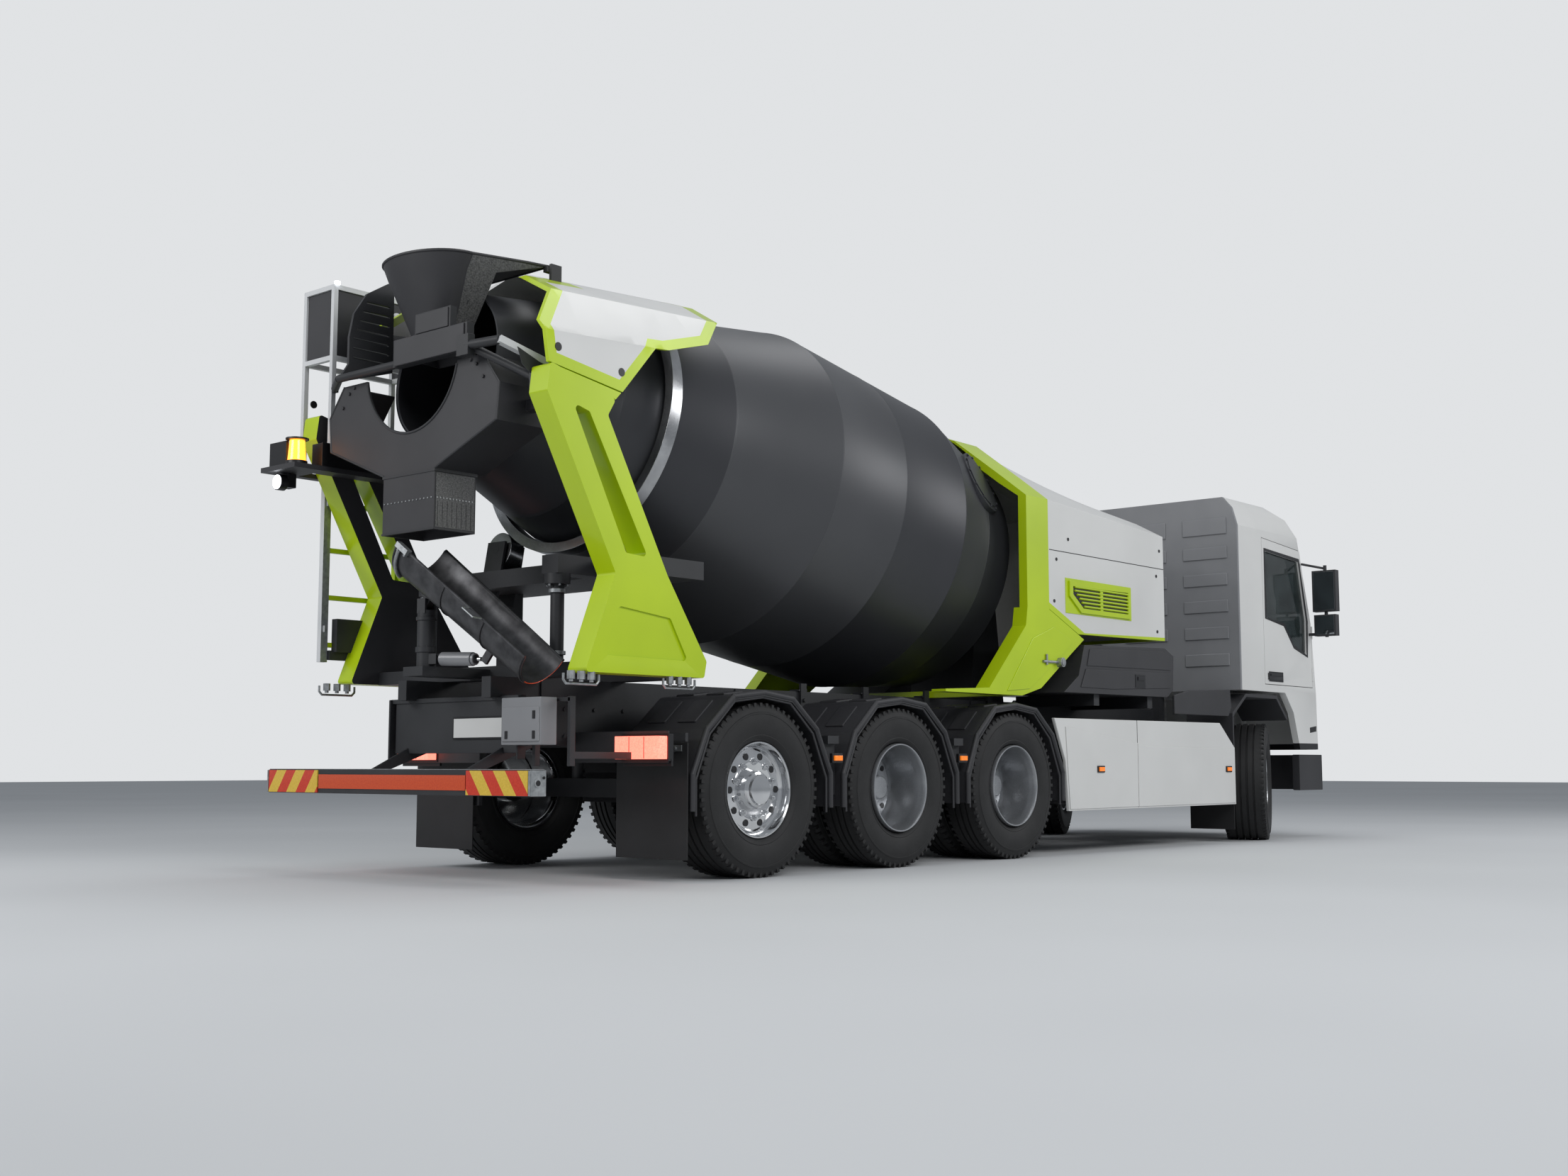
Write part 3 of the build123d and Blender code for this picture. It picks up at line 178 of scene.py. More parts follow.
# %% Plastics and rubbers
dark_plastic = grained("moulded dark polyethylene", "2B2B2E", "343437", 500, 0.46, 0.60, 2.0, 0.16)
black_plastic = grained("black ABS", "141416", "1B1B1E", 500, 0.30, 0.42, 1.6, 0.08)
tyre_rubber = grained("carbon black tyre rubber", "141415", "1D1D1E", 120, 0.55, 0.74, 2.6, 0.14)
# a hammer grain in a grey lighter than the dark plastic: the grain is texture, the lighter tone is painted
# sheen
hammer_grain_painted_sheen = grained("hammer-grain grey with painted sheen", "3E3E3F", "6E6E6E", 9, 0.40, 0.58, 5, 0.30, metallic=0.3)
flap_rubber = grained("sheet rubber", "161617", "1E1E20", 300, 0.50, 0.66, 3, 0.10)
seat_cloth = grained("woven seat cloth", "1C1D20", "2A2B30", 40, 0.80, 0.95, 1.8, 0.35)

# %% [markdown]
# Bare metals. The running ring is turned steel, worn bright by its rollers, the handrails are hot-dip
# galvanised, the outer disc wheels are forged and polished aluminium, and the others carry a silver
# wheel lacquer. The brushed streaks run along the truck.

# %% Metals
ring_steel = grained("turned bright steel", "A9AAAC", "BDBEC0", 60, 0.20, 0.32, 1.2, 0.03, metallic=1.0)
galvanised = grained("hot-dip galvanised steel", "8F9294", "B3B6B8", 30, 0.34, 0.52, 6, 0.08, metallic=0.85)
polished = grained("polished forged aluminium", "D2D3D5", "E2E3E4", 200, 0.08, 0.16, 3, 0.02, metallic=1.0)
wheel_silver = grained("silver wheel lacquer", "A6A8AB", "B4B6B9", 200, 0.24, 0.34, 2, 0.03, metallic=0.8)
worn_steel = grained("worn chute steel", "3A3A3C", "5A5A5C", 90, 0.30, 0.52, 5, 0.15, metallic=0.8,
                     stretch=(1, 4, 1))
chrome_rod = grained("hard chromed rod", "B8B9BB", "C8C9CB", 100, 0.06, 0.12, 2, 0.01, metallic=1.0)


# %% [markdown]
# Lenses and glass. A lens is a clear plastic over a coloured reflector, and a lit tail lamp glows.
# Cab glass is a green-grey tint: mostly seen through, so it keeps a low alpha and a sharp surface.

# %% Glass and lenses
def lens(name, colour, glow=0.0, glow_colour=None):
    material, tree, shader = new_material(name)
    cells = object_noise(tree, 9, detail=1.0)
    tint = ramp(tree, cells.outputs["Fac"],
                [(0.35, hex_colour(colour)), (0.65, hex_colour(glow_colour or colour))])
    tree.links.new(tint.outputs["Color"], shader.inputs["Base Color"])
    shader.inputs["Roughness"].default_value = 0.12
    shader.inputs["Coat Weight"].default_value = 0.8
    if glow:
        shader.inputs["Emission Color"].default_value = hex_colour(glow_colour or colour)
        shader.inputs["Emission Strength"].default_value = glow
    return material


def tinted_glass(name, colour, alpha):
    material, tree, shader = new_material(name)
    haze = object_noise(tree, 220)
    tint = ramp(tree, haze.outputs["Fac"], [(0.3, hex_colour(colour)), (0.7, hex_colour("3A4444"))])
    tree.links.new(tint.outputs["Color"], shader.inputs["Base Color"])
    shader.inputs["Roughness"].default_value = 0.03
    shader.inputs["Alpha"].default_value = alpha
    shader.inputs["Specular IOR Level"].default_value = 0.6
    return material


cab_glass = tinted_glass("tinted safety glass", "1E2626", 0.62)
mirror_glass = grained("silvered mirror glass", "9AA0A4", "A8AEB2", 300, 0.02, 0.05, 5, 0.0, metallic=1.0)
red_lens = lens("lit red lamp lens", "D81E12", 2.4, "FF7866")
amber_lens = lens("amber lamp lens", "D86A10", 0.6, "F08020")
clear_lens = lens("clear lamp lens", "C8CCD0")
board_red = lens("red retroreflective sheet", "C8321A", 0.0, "D23C20")
board_yellow = lens("yellow retroreflective sheet", "D8B43C", 0.0, "E2BE46")
beacon_amber = lens("lit amber beacon dome", "E07010", 3.0, "FF9A30")
white_lamp = lens("lit white work lamp", "E8ECF0", 5.0, "F4F8FF")
rail_white = grained("white powder-coated steel", "C6C8C9", "D2D3D4", 300, 0.30, 0.42, 3, 0.05, coat=0.3)
orange_strip = lens("orange marking strip", "C8461C", 0.0, "D25020")
print("materials", len(bpy.data.materials))

# %% [markdown]
# The solids arrive as loose flat triangles. To give one a soft edge highlight it gets three
# modifiers: Weld joins its triangles, Bevel rounds each sharp edge by a few millimetres, and
# Weighted Normal keeps the large faces flat while the rounded edges catch the light. The solid's own
# points are never touched.

# %% Dress a solid
def dress(node_name, material, edge_mm=4.0, steps=2, angle=32):
    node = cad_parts[node_name]
    node.data.materials.clear()
    node.data.materials.append(material)
    for polygon in node.data.polygons:
        polygon.use_smooth = True
    weld = node.modifiers.new("join triangles", "WELD")
    weld.merge_threshold = WELD_GAP
    if edge_mm:
        round_edge = node.modifiers.new("edge radius", "BEVEL")
        round_edge.width = edge_mm * MM
        round_edge.segments = steps
        round_edge.limit_method = "ANGLE"
        round_edge.angle_limit = radians(angle)
        round_edge.use_clamp_overlap = True
    weigh = node.modifiers.new("flat faces stay flat", "WEIGHTED_NORMAL")
    weigh.keep_sharp = False
    return node


for names, material, edge in (
    (("front_arch",), lime, 8),
    (("side_skirts",), white, 5),
    (("charging_hopper", "discharge_collector", "equipment_boxes", "rear_mudguards", "front_mudguards",
      "platform_panels"), dark_plastic, 3),
    (("chassis_frame", "rear_axles", "front_axle_beam", "knuckle_left", "knuckle_right", "track_rod",
      "drive_line", "underrun_bar", "rear_bridge", "chute_swivel", "strut_barrel", "hopper_frame"),
     frame_paint, 4),
    (("front_bumper", "mirror_left", "mirror_right"), dark_plastic, 8),
    (("mud_flaps",), flap_rubber, 2),
    (("drum_ring", "drum_roller_left", "drum_roller_right"), ring_steel, 3),
    (("strut_rod",), chrome_rod, 1),
    (("main_chute",), worn_steel, 2),
    (("tail_lamps",), red_lens, 4),
    (("headlamps",), clear_lens, 6),
    (("windscreen", "door_glass_left", "door_glass_right"), cab_glass, 0),
    (("cab_interior",), seat_cloth, 12),
):
    for name in names:
        dress(name, material, edge)
print("dressed", len(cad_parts), "solids")


# %% [markdown]
# New pieces start as a bmesh. These helpers add a shape to an open bmesh with an operator: a box, a
# round bar, a plate cut to an outline, or a profile turned about an axis. The last one closes the
# bmesh, points its faces outwards, marks its sharp edges, and puts the piece on the body that
# carries it.

# %% Shape helpers
def add_box(bm, low, high, turn=None):
    middle = (Vector(low) + Vector(high)) / 2
    size = [abs(b - a) for a, b in zip(low, high)]
    place = (turn or Matrix.Identity(4)) @ Matrix.Translation(middle) @ Matrix.Diagonal((*size, 1))
    return bmesh.ops.create_cube(bm, size=1.0, matrix=place)["verts"]


def along(start, end):
    start, end = Vector(start), Vector(end)
    turn = (end - start).to_track_quat("Z", "Y").to_matrix().to_4x4()
    return Matrix.Translation((start + end) / 2) @ turn


def add_rod(bm, start, end, radius, sides=24, end_radius=None):
    reach = (Vector(end) - Vector(start)).length
    far = radius if end_radius is None else end_radius
    return bmesh.ops.create_cone(bm, cap_ends=True, segments=sides, radius1=radius, radius2=far, depth=reach,
                                 matrix=along(start, end))["verts"]


def on_circle(place, radius, angle, height):
    return place @ Vector((radius * cos(angle), radius * sin(angle), height))


def add_pipe(bm, points, radius, sides=14):
    for start, end in zip(points[:-1], points[1:]):
        add_rod(bm, start, end, radius, sides)
    for point in points[1:-1]:
        bmesh.ops.create_uvsphere(bm, u_segments=sides, v_segments=sides // 2, radius=radius * 1.02,
                                  matrix=Matrix.Translation(point))


def add_plate(bm, outline, reach, turn=None):
    corners = [bm.verts.new(point) for point in outline]
    face = bm.faces.new(corners)
    grown = bmesh.ops.extrude_face_region(bm, geom=[face])
    moved = [item for item in grown["geom"] if isinstance(item, bmesh.types.BMVert)]
    bmesh.ops.translate(bm, verts=moved, vec=reach)
    if turn:
        bmesh.ops.transform(bm, verts=corners + moved, matrix=turn)
    return corners + moved


def add_spin(bm, profile, place, steps=96, closed=True):
    # profile is (radius, height) pairs, turned about the local Z axis of place
    verts = [bm.verts.new((r, 0, z)) for r, z in profile]
    pairs = list(zip(verts, verts[1:] + verts[:1])) if closed else list(zip(verts[:-1], verts[1:]))
    edges = [bm.edges.new(pair) for pair in pairs]
    bmesh.ops.spin(bm, geom=verts + edges, cent=(0, 0, 0), axis=(0, 0, 1), angle=2 * pi, steps=steps,
                   use_merge=True, use_duplicate=False)
    fresh = [v for v in bm.verts if v.link_edges and not v.tag]
    bmesh.ops.transform(bm, verts=fresh, matrix=place)
    for v in fresh:
        v.tag = True
    return fresh


def mark_done(bm):
    # what is on the bench already is left alone by the next turned profile
    for v in bm.verts:
        v.tag = True


def mirror_over(bm):
    # a copy of everything on the other side of the truck's middle plane
    copy = bmesh.ops.duplicate(bm, geom=bm.verts[:] + bm.edges[:] + bm.faces[:])
    verts = [item for item in copy["geom"] if isinstance(item, bmesh.types.BMVert)]
    faces = [item for item in copy["geom"] if isinstance(item, bmesh.types.BMFace)]
    bmesh.ops.scale(bm, vec=(1, -1, 1), verts=verts)
    bmesh.ops.reverse_faces(bm, faces=faces)


def finish_piece(bm, name, body, material, edge_mm=0.0, steps=2, sharp=35, replaces=(), merge=True):
    if merge:
        bmesh.ops.remove_doubles(bm, verts=bm.verts[:], dist=WELD_GAP / 2)
    bmesh.ops.recalc_face_normals(bm, faces=bm.faces[:])
    mesh = bpy.data.meshes.new(name)
    bm.to_mesh(mesh)
    bm.free()
    for polygon in mesh.polygons:
        polygon.use_smooth = True
    mesh.set_sharp_from_angle(angle=radians(sharp))
    piece = bpy.data.objects.new(name, mesh)
    bpy.context.scene.collection.objects.link(piece)
    for each in (material if isinstance(material, (list, tuple)) else [material]):
        mesh.materials.append(each)
    if edge_mm:
        round_edge = piece.modifiers.new("edge radius", "BEVEL")
        round_edge.width = edge_mm * MM
        round_edge.segments = steps
        round_edge.limit_method = "ANGLE"
        round_edge.angle_limit = radians(sharp)
        round_edge.harden_normals = True
    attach(piece, body)
    if replaces:
        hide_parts(*replaces)
    print("made", name, len(mesh.polygons), "faces on", body)
    return piece


# %% [markdown]
# The drum is two cones and a cylinder welded from rolled plate. It was one turned profile in the solid, and
# here the same profile gets the weld beads at its seams, rounded shoulders and a rolled lip at its mouth. The
# lighter band round its waist is a painted highlight: a paler copy of the drum paint where the light falls.

# %% The drum
drum_profile = [(0.470, -1.474), (1.130, 0.927), (1.130, 2.342), (0.950, 3.180), (0.640, 3.350),
                (0.330, 3.470)]
weld_seams = [-0.66, 0.12, 0.927, 1.63, 2.342, 2.78, 3.18]
bead_half, bead_height, skin_inset = 0.006, 0.0016, 0.0020
drum_back, drum_front = -1.4, 3.4
highlight_start, highlight_end = -0.2, 1.63


def drum_radius(s):
    for (r0, s0), (r1, s1) in zip(drum_profile[:-1], drum_profile[1:]):
        if s <= s1:
            return r0 + (s - s0) / (s1 - s0) * (r1 - r0)
    return drum_profile[-1][0]


def drum_skin():
    near_seams = {seam + share * bead_half for seam in weld_seams for share in (-1, -0.5, 0, 0.5, 1)}
    stations = sorted({s for r, s in drum_profile} | {s for s in near_seams if drum_back < s < drum_front})
    outer = []
    for s in stations:
        bead = max((bead_height * (1 - abs(s - seam) / bead_half) for seam in weld_seams
                    if abs(s - seam) <= bead_half), default=0)
        outer.append((drum_radius(s) - skin_inset + bead, s))
    lip = [(0.458, -1.474), (0.452, -1.466), (0.456, -1.455)]
    inner = [(1.116, 0.930), (1.116, 2.340), (0.936, 3.176)]
    nose = [(0.160, 3.472), (0.160, 3.530), (0.0, 3.530), (0.0, 3.458), (0.310, 3.456), (0.626, 3.338)]
    return outer + nose + inner[::-1] + lip[::-1]


bench = bmesh.new()
drum_turn = drum_place @ Matrix.Rotation(pi / 2, 4, "Y")
add_spin(bench, drum_skin(), drum_turn, steps=144)
drum_mesh = finish_piece(bench, "mixer_drum", "drum", [drum_paint, drum_painted_highlight], sharp=28,
                         replaces=("drum_shell",))
to_drum = drum_place.inverted()
# faces round the drum's waist take the paler copy, a painted highlight
for polygon in drum_mesh.data.polygons:
    s = (to_drum @ polygon.center).x
    if highlight_start < s < highlight_end:
        polygon.material_index = 1

# %% [markdown]
# A truck tyre is a toroid with a bead, a bulging sidewall with moulded rings, a shoulder and a
# grooved tread. One turned profile gives all but the tread blocks. The grooves that go round are in
# the profile, and short raised lugs across the shoulders are repeated round it.

# %% Tyres
single_width, twin_width, twin_pitch = 0.385, 0.290, 0.335
tyre_outer_y = 1.240
groove_half, groove_floor, groove_depth = 0.0085, 0.005, 0.013
lug_count = 60


def tyre_profile(width):
    half = width / 2
    bead, crown = 0.2903, tyre_radius - 0.0006
    side = [(bead, half - 0.040), (bead + 0.010, half - 0.024), (bead + 0.034, half - 0.012),
            (bead + 0.038, half - 0.014), (bead + 0.060, half - 0.0065), (bead + 0.100, half - 0.002),
            (bead + 0.128, half - 0.001), (bead + 0.160, half - 0.004), (bead + 0.163, half - 0.001),
            (bead + 0.171, half - 0.002), (bead + 0.174, half - 0.006), (crown - 0.034, half - 0.014),
            (crown - 0.016, half - 0.022), (crown - 0.004, half - 0.036)]
    grooves = []
    count = 4 if width > 0.35 else 3
    pitch = (width - 0.10) / (count + 1)
    for number in range(count):
        y = half - 0.05 - pitch * (number + 1)
        floor = crown - groove_depth
        grooves += [(crown, y + groove_half), (floor, y + groove_floor), (floor, y - groove_floor),
                    (crown, y - groove_half)]
    return side + grooves + [(r, -y) for r, y in reversed(side)]


def add_tyre(bm, width, place, steps=120):
    mark_done(bm)
    add_spin(bm, tyre_profile(width), place, steps)
    half = width / 2
    for number in range(lug_count):
        turn = place @ Matrix.Rotation(2 * pi * number / lug_count, 4, "Z")
        for side in (1, -1):
            low = (tyre_radius - 0.030, -0.0105, side * (half - 0.050))
            high = (tyre_radius - 0.0012, 0.0105, side * (half - 0.0165))
            add_box(bm, low, high, turn)


def wheel_place(x, y, side, turned=0.0):
    # local Z points outwards from the truck's middle, the wheel's centre is the origin
    place = Matrix.Translation((x, y, wheel_z))
    outward = Matrix.Rotation(-side * pi / 2, 4, "X")
    return place @ Matrix.Rotation(turned, 4, "Z") @ outward


single_y = tyre_outer_y - single_width / 2
twin_ys = (tyre_outer_y - twin_width / 2, tyre_outer_y - twin_width / 2 - twin_pitch)


def steered_place(side):
    offset = Vector((0, side * (single_y - kingpin_y), 0))
    offset.rotate(Matrix.Rotation(steer_rest, 3, "Z"))
    return wheel_place(front_x + offset.x, side * kingpin_y + offset.y, side, steer_rest)


tyre_sets = []
for word, side in SIDES.items():
    for axle, place in (("front", steered_place(side)),
                        ("tag", wheel_place(axle_xs["tag"], side * single_y, side))):
        tyre_sets.append((f"tyre_{axle}_{word}", f"wheel_{axle}_{word}", [(single_width, place)]))
    for axle in ("drive_rear", "drive_mid"):
        pair = [(twin_width, wheel_place(axle_xs[axle], side * y, side)) for y in twin_ys]
        tyre_sets.append((f"tyres_{axle}_{word}", f"wheel_{axle}_{word}", pair))
for node_name, body, places in tyre_sets:
    bench = bmesh.new()
    for width, place in places:
        add_tyre(bench, width, place)
    finish_piece(bench, f"{node_name}_rubber", body, tyre_rubber, sharp=32,
                 replaces=(node_name,))

# %% [markdown]
# The wheels are ten-stud steel or aluminium discs of 22.5 inches. The disc of a single wheel is a flat dish
# with ten round hand holes and ten nuts round a hub; the dark of the holes is painted shade, black discs on
# the dish. A twin wheel shows its deep barrel instead, with the disc and the hub far inside. Both are turned
# profiles with repeated nuts.

# %% Wheels
rim_radius, rim_set_in = 0.2898, 0.030
nut_count = 10
nut_circle, nut_across = 0.1675, 0.032
washer_mm, stud_mm = 6, 10


def add_nuts(bm, place, z0, z1, circle=nut_circle, across=nut_across):
    for number in range(nut_count):
        angle = 2 * pi * (number + 0.5) / nut_count
        for low, high, radius, sides in ((z0, z1, across / 2, 6),
                                         (z0, z0 + washer_mm * MM, across * 0.68, 16),
                                         (z1, z1 + stud_mm * MM, across * 0.28, 12)):
            add_rod(bm, on_circle(place, circle, angle, low), on_circle(place, circle, angle, high),
                    radius, sides)


def rim_profile(half, disc_z, disc_reach):
    # an outer flange with a rolled edge, the bead seat, and the well behind it
    edge = rim_radius
    return [(edge, half - 0.006), (edge - 0.004, half), (edge - 0.011, half + 0.001),
            (edge - 0.016, half - 0.004), (edge - 0.018, half - 0.022), (edge - 0.024, half - 0.034),
            (edge - 0.030, half - 0.050), (edge - 0.034, disc_z + 0.02), (disc_reach, disc_z + 0.004),
            (disc_reach, disc_z - 0.012), (edge - 0.030, disc_z - 0.020), (edge - 0.032, -half + 0.045),
            (edge - 0.020, -half + 0.028), (edge - 0.014, -half), (edge, -half), (edge, -half + 0.02),
            (edge - 0.008, 0), (edge, half - 0.02)]


def add_single_wheel(bm, place):
    half, disc_z = single_width / 2 - rim_set_in, 0.110
    mark_done(bm)
    add_spin(bm, rim_profile(half, disc_z - 0.01, 0.243), place, 96)
    disc = [(0.0, disc_z - 0.016), (0.0, disc_z), (0.140, disc_z), (0.152, disc_z + 0.006),
            (0.172, disc_z + 0.006), (0.176, disc_z + 0.002), (0.236, disc_z - 0.006),
            (0.248, disc_z + 0.010), (0.252, disc_z + 0.010), (0.252, disc_z - 0.016)]
    mark_done(bm)
    add_spin(bm, disc, place, 96)
    hub = [(0.0, disc_z - 0.02), (0.112, disc_z - 0.02), (0.112, disc_z + 0.034), (0.106, disc_z + 0.044),
           (0.092, disc_z + 0.050), (0.086, disc_z + 0.064), (0.060, disc_z + 0.067), (0.0, disc_z + 0.067)]
    mark_done(bm)
    add_spin(bm, hub, place, 64)
    add_nuts(bm, place, disc_z + 0.004, disc_z + 0.026)


def add_hand_hole_shade(bm, place, z, circle=0.2055, radius=0.021):
    # a hand hole, inside a raised steel edge, is a black disc: painted shade for its dark opening
    for number in range(nut_count):
        angle = 2 * pi * number / nut_count
        add_rod(bm, on_circle(place, circle, angle, z - 0.008), on_circle(place, circle, angle, z),
                radius, 20)


def add_hub_back(bm, place, back_z, front_z, radius):
    add_rod(bm, place @ Vector((0, 0, back_z)), place @ Vector((0, 0, front_z)), radius, 48)


for word, side in SIDES.items():
    for label, place, finish in ((f"wheel_front_{word}", steered_place(side), wheel_silver),
                                 (f"wheel_tag_{word}", wheel_place(axle_xs["tag"], side * single_y, side),
                                  polished)):
        bench = bmesh.new()
        add_single_wheel(bench, place)
        add_hub_back(bench, place, -0.020, 0.10, 0.100)
        finish_piece(bench, f"{label}_disc", label, finish, sharp=30, replaces=(label,))
        bench = bmesh.new()
        add_hand_hole_shade(bench, place, 0.1085 + 0.004)
        finish_piece(bench, f"{label}_hand_hole_shade", label, black_plastic, sharp=30)


def add_twin_wheel(bm, place_outer, place_inner):
    half, disc_z = twin_width / 2 - rim_set_in, -0.160
    mark_done(bm)
    barrel = [(rim_radius, half + 0.022), (0.2858, half + 0.030), (0.2788, half + 0.030),
              (0.2738, half + 0.022), (0.2720, half), (0.2640, half - 0.020), (0.2600, half - 0.05),
              (0.2560, disc_z + 0.05), (0.2500, disc_z + 0.008), (0.2500, disc_z - 0.008),
              (0.2620, disc_z - 0.008), (0.2640, -half), (0.2800, -half - 0.02),
              (rim_radius, -half - 0.022), (rim_radius, -half), (0.2700, -half + 0.03),
              (0.2700, half - 0.03), (rim_radius, half)]
    add_spin(bm, barrel, place_outer, 96)
    mark_done(bm)
    mirrored = [(r, -z) for r, z in barrel]
    add_spin(bm, mirrored, place_inner, 96)
    disc = [(0.0, disc_z - 0.016), (0.0, disc_z), (0.130, disc_z), (0.170, disc_z), (0.200, disc_z + 0.014),
            (0.236, disc_z + 0.016), (0.254, disc_z + 0.004), (0.254, disc_z - 0.016)]
    mark_done(bm)
    add_spin(bm, disc, place_outer, 96)
    hub = [(0.0, disc_z), (0.118, disc_z), (0.118, disc_z + 0.050), (0.110, disc_z + 0.060),
           (0.082, disc_z + 0.066), (0.078, disc_z + 0.128), (0.070, disc_z + 0.134), (0.0, disc_z + 0.134)]
    mark_done(bm)
    add_spin(bm, hub, place_outer, 64)
    add_nuts(bm, place_outer, disc_z - 0.001, disc_z + 0.022)
    for number in range(nut_count):
        angle = 2 * pi * number / nut_count
        add_rod(bm, on_circle(place_outer, 0.098, angle, disc_z + 0.066),
                on_circle(place_outer, 0.098, angle, disc_z + 0.074), 0.008, 6)


for word, side in SIDES.items():
    for axle in ("drive_rear", "drive_mid"):
        outer, inner = (wheel_place(axle_xs[axle], side * y, side) for y in twin_ys)
        bench = bmesh.new()
        add_twin_wheel(bench, outer, inner)
        add_hub_back(bench, outer, -0.275, -0.17, 0.112)
        label, body = f"wheels_{axle}_{word}", f"wheel_{axle}_{word}"
        finish_piece(bench, f"{label}_discs", body, wheel_silver, sharp=30, replaces=(label,))
        bench = bmesh.new()
        add_hand_hole_shade(bench, outer, -0.160 + 0.0165, circle=0.2120, radius=0.019)
        finish_piece(bench, f"{label}_hand_hole_shade", body, black_plastic, sharp=30)

# %% [markdown]
# Some solids carry two or three finishes that meet on straight lines: the white cowls with their lime
# borders, the cab with its grey rear wall, the striped marker boards. The solid's own triangles are
# copied and joined, cut along those lines, and painted face by face.

# %% Two finishes on one piece
bpy.context.view_layer.update()


def painted_copy(node_name, body, finishes, cuts, choose, edge_mm=4.0, sharp=32):
    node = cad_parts[node_name]
    bm = bmesh.new()
    bm.from_mesh(node.data)
    bmesh.ops.transform(bm, verts=bm.verts[:], matrix=node.matrix_world)
    bmesh.ops.remove_doubles(bm, verts=bm.verts[:], dist=WELD_GAP)
    bmesh.ops.dissolve_limit(bm, angle_limit=radians(0.4), verts=bm.verts[:], edges=bm.edges[:])
    for point, normal in cuts:
        bmesh.ops.bisect_plane(bm, geom=bm.verts[:] + bm.edges[:] + bm.faces[:], dist=WELD_GAP / 10,
                               plane_co=point, plane_no=normal)
    bm.normal_update()
    for face in bm.faces:
        face.material_index = choose(face.calc_center_median(), face.normal)
    return finish_piece(bm, f"{node_name}_painted", body, finishes, edge_mm, sharp=sharp,
                        replaces=(node_name,), merge=False)


def border_lines(points, width):
    # one cutting plane for each edge of a side outline, set in by the border's width
    cuts = []
    for (x0, z0), (x1, z1) in zip(points[:-1], points[1:]):
        way = Vector((x1 - x0, 0, z1 - z0)).normalized()
        inward = Vector((-way.z, 0, way.x))
        cuts.append((Vector((x0, 0, z0)) + inward * width, inward))
        cuts.append((Vector((x0, 0, z0)) - inward * width, inward))
    return cuts


def edge_distance(points, x, z):
    best = 10.0
    for (x0, z0), (x1, z1) in zip(points[:-1], points[1:]):
        dx, dz = x1 - x0, z1 - z0
        share = max(0.0, min(1.0, ((x - x0) * dx + (z - z0) * dz) / (dx * dx + dz * dz)))
        best = min(best, ((x - x0 - share * dx) ** 2 + (z - z0 - share * dz) ** 2) ** 0.5)
    return best


def behind_tag(points):
    # outlines are written in metres from the rearmost axle, as in the drawing
    return [(tag_x + x, z) for x, z in points]


grid_start, grid_step, grid_count = tag_x - 1.70, 0.05, 50
grid_cuts = [((grid_start + grid_step * n, 0, 0), (1, 0, 0)) for n in range(grid_count)]
edge_slack = 1.02
rear_border = behind_tag([(-1.010, 3.535), (-1.310, 3.505), (-1.690, 3.070), (-1.650, 2.839), (-1.100, 2.760),
                          (-0.840, 3.060), (-0.730, 3.070), (-0.330, 3.190), (0.110, 3.600)])
border_width = 0.062
pillar_inner_y, on_face = 1.0, 0.002
# the pillars' faces toward the truck's middle are dark, the rest lime
painted_copy("rear_pillars", "chassis", [lime, dark_plastic], [],
             lambda c, n: 1 if abs(abs(c.y) - pillar_inner_y) < on_face and abs(n.y) > 0.9 else 0, 8)

ear_inner_y, ear_outer_y, ear_foot_z = 0.505, 0.540, 3.47


def rear_cowl_finish(c, n):
    if ear_inner_y < abs(c.y) < ear_outer_y and c.z > ear_foot_z and c.x < tag_x - 1.01:
        return 2
    return 1 if edge_distance(rear_border, c.x, c.z) < border_width * edge_slack else 0


painted_copy("rear_cowl", "chassis", [white, lime, dark_plastic],
             border_lines(rear_border, border_width) + grid_cuts, rear_cowl_finish, 4)

cowl_border = behind_tag([(3.290, 1.834), (3.788, 1.634), (5.10, 1.672)])
cowl_band = 0.046
bezel_y = 1.2004


def front_cowl_finish(c, n):
    return 1 if edge_distance(cowl_border, c.x, c.z) < cowl_band * edge_slack or abs(c.y) > bezel_y else 0


painted_copy("front_cowl", "chassis", [white, lime], border_lines(cowl_border, cowl_band),
             front_cowl_finish, 5)

cab_back_x = front_x - 0.480
grey_wall_x, sill_z = cab_back_x + 0.03, 0.87
painted_copy("cab_shell", "cab", [white, grey_paint, black_plastic],
             [((grey_wall_x, 0, 0), (1, 0, 0)), ((0, 0, sill_z), (0, 0, 1))],
             lambda c, n: 1 if c.x < grey_wall_x else 2 if c.z < sill_z else 0, 5)
handle_reach_x, handle_y = front_x + 0.6, 1.2505
for word in SIDES:
    painted_copy(f"door_{word}", f"door_{word}", [white, black_plastic], [],
                 lambda c, n: 1 if abs(c.y) > handle_y and c.x < handle_reach_x else 0, 4)

stripe, stripe_lean, stripes_each_way = 0.098, 0.72, 16
stripe_cuts = [((0, number * stripe, 0), (0, 1, lean * stripe_lean))
               for number in range(-stripes_each_way, stripes_each_way + 1) for lean in (1, -1)]
low_strip_y = 0.685


def board_finish(c, n):
    if abs(c.y) < low_strip_y:
        return 2
    lean = 1 if c.y > 0 else -1
    return int((c.y + lean * stripe_lean * c.z) // stripe) % 2


painted_copy("warning_boards", "chassis", [board_red, board_yellow, orange_strip], stripe_cuts,
             board_finish, 0)

deck_z, basket_top = 2.46, 3.635
ladder_front_x, ladder_rear_x = tag_x - 0.900, tag_x - 1.450
rim_rise, deck_drop, stile_half, stile_back, facing = 0.035, 0.02, 0.026, 0.02, 0.5


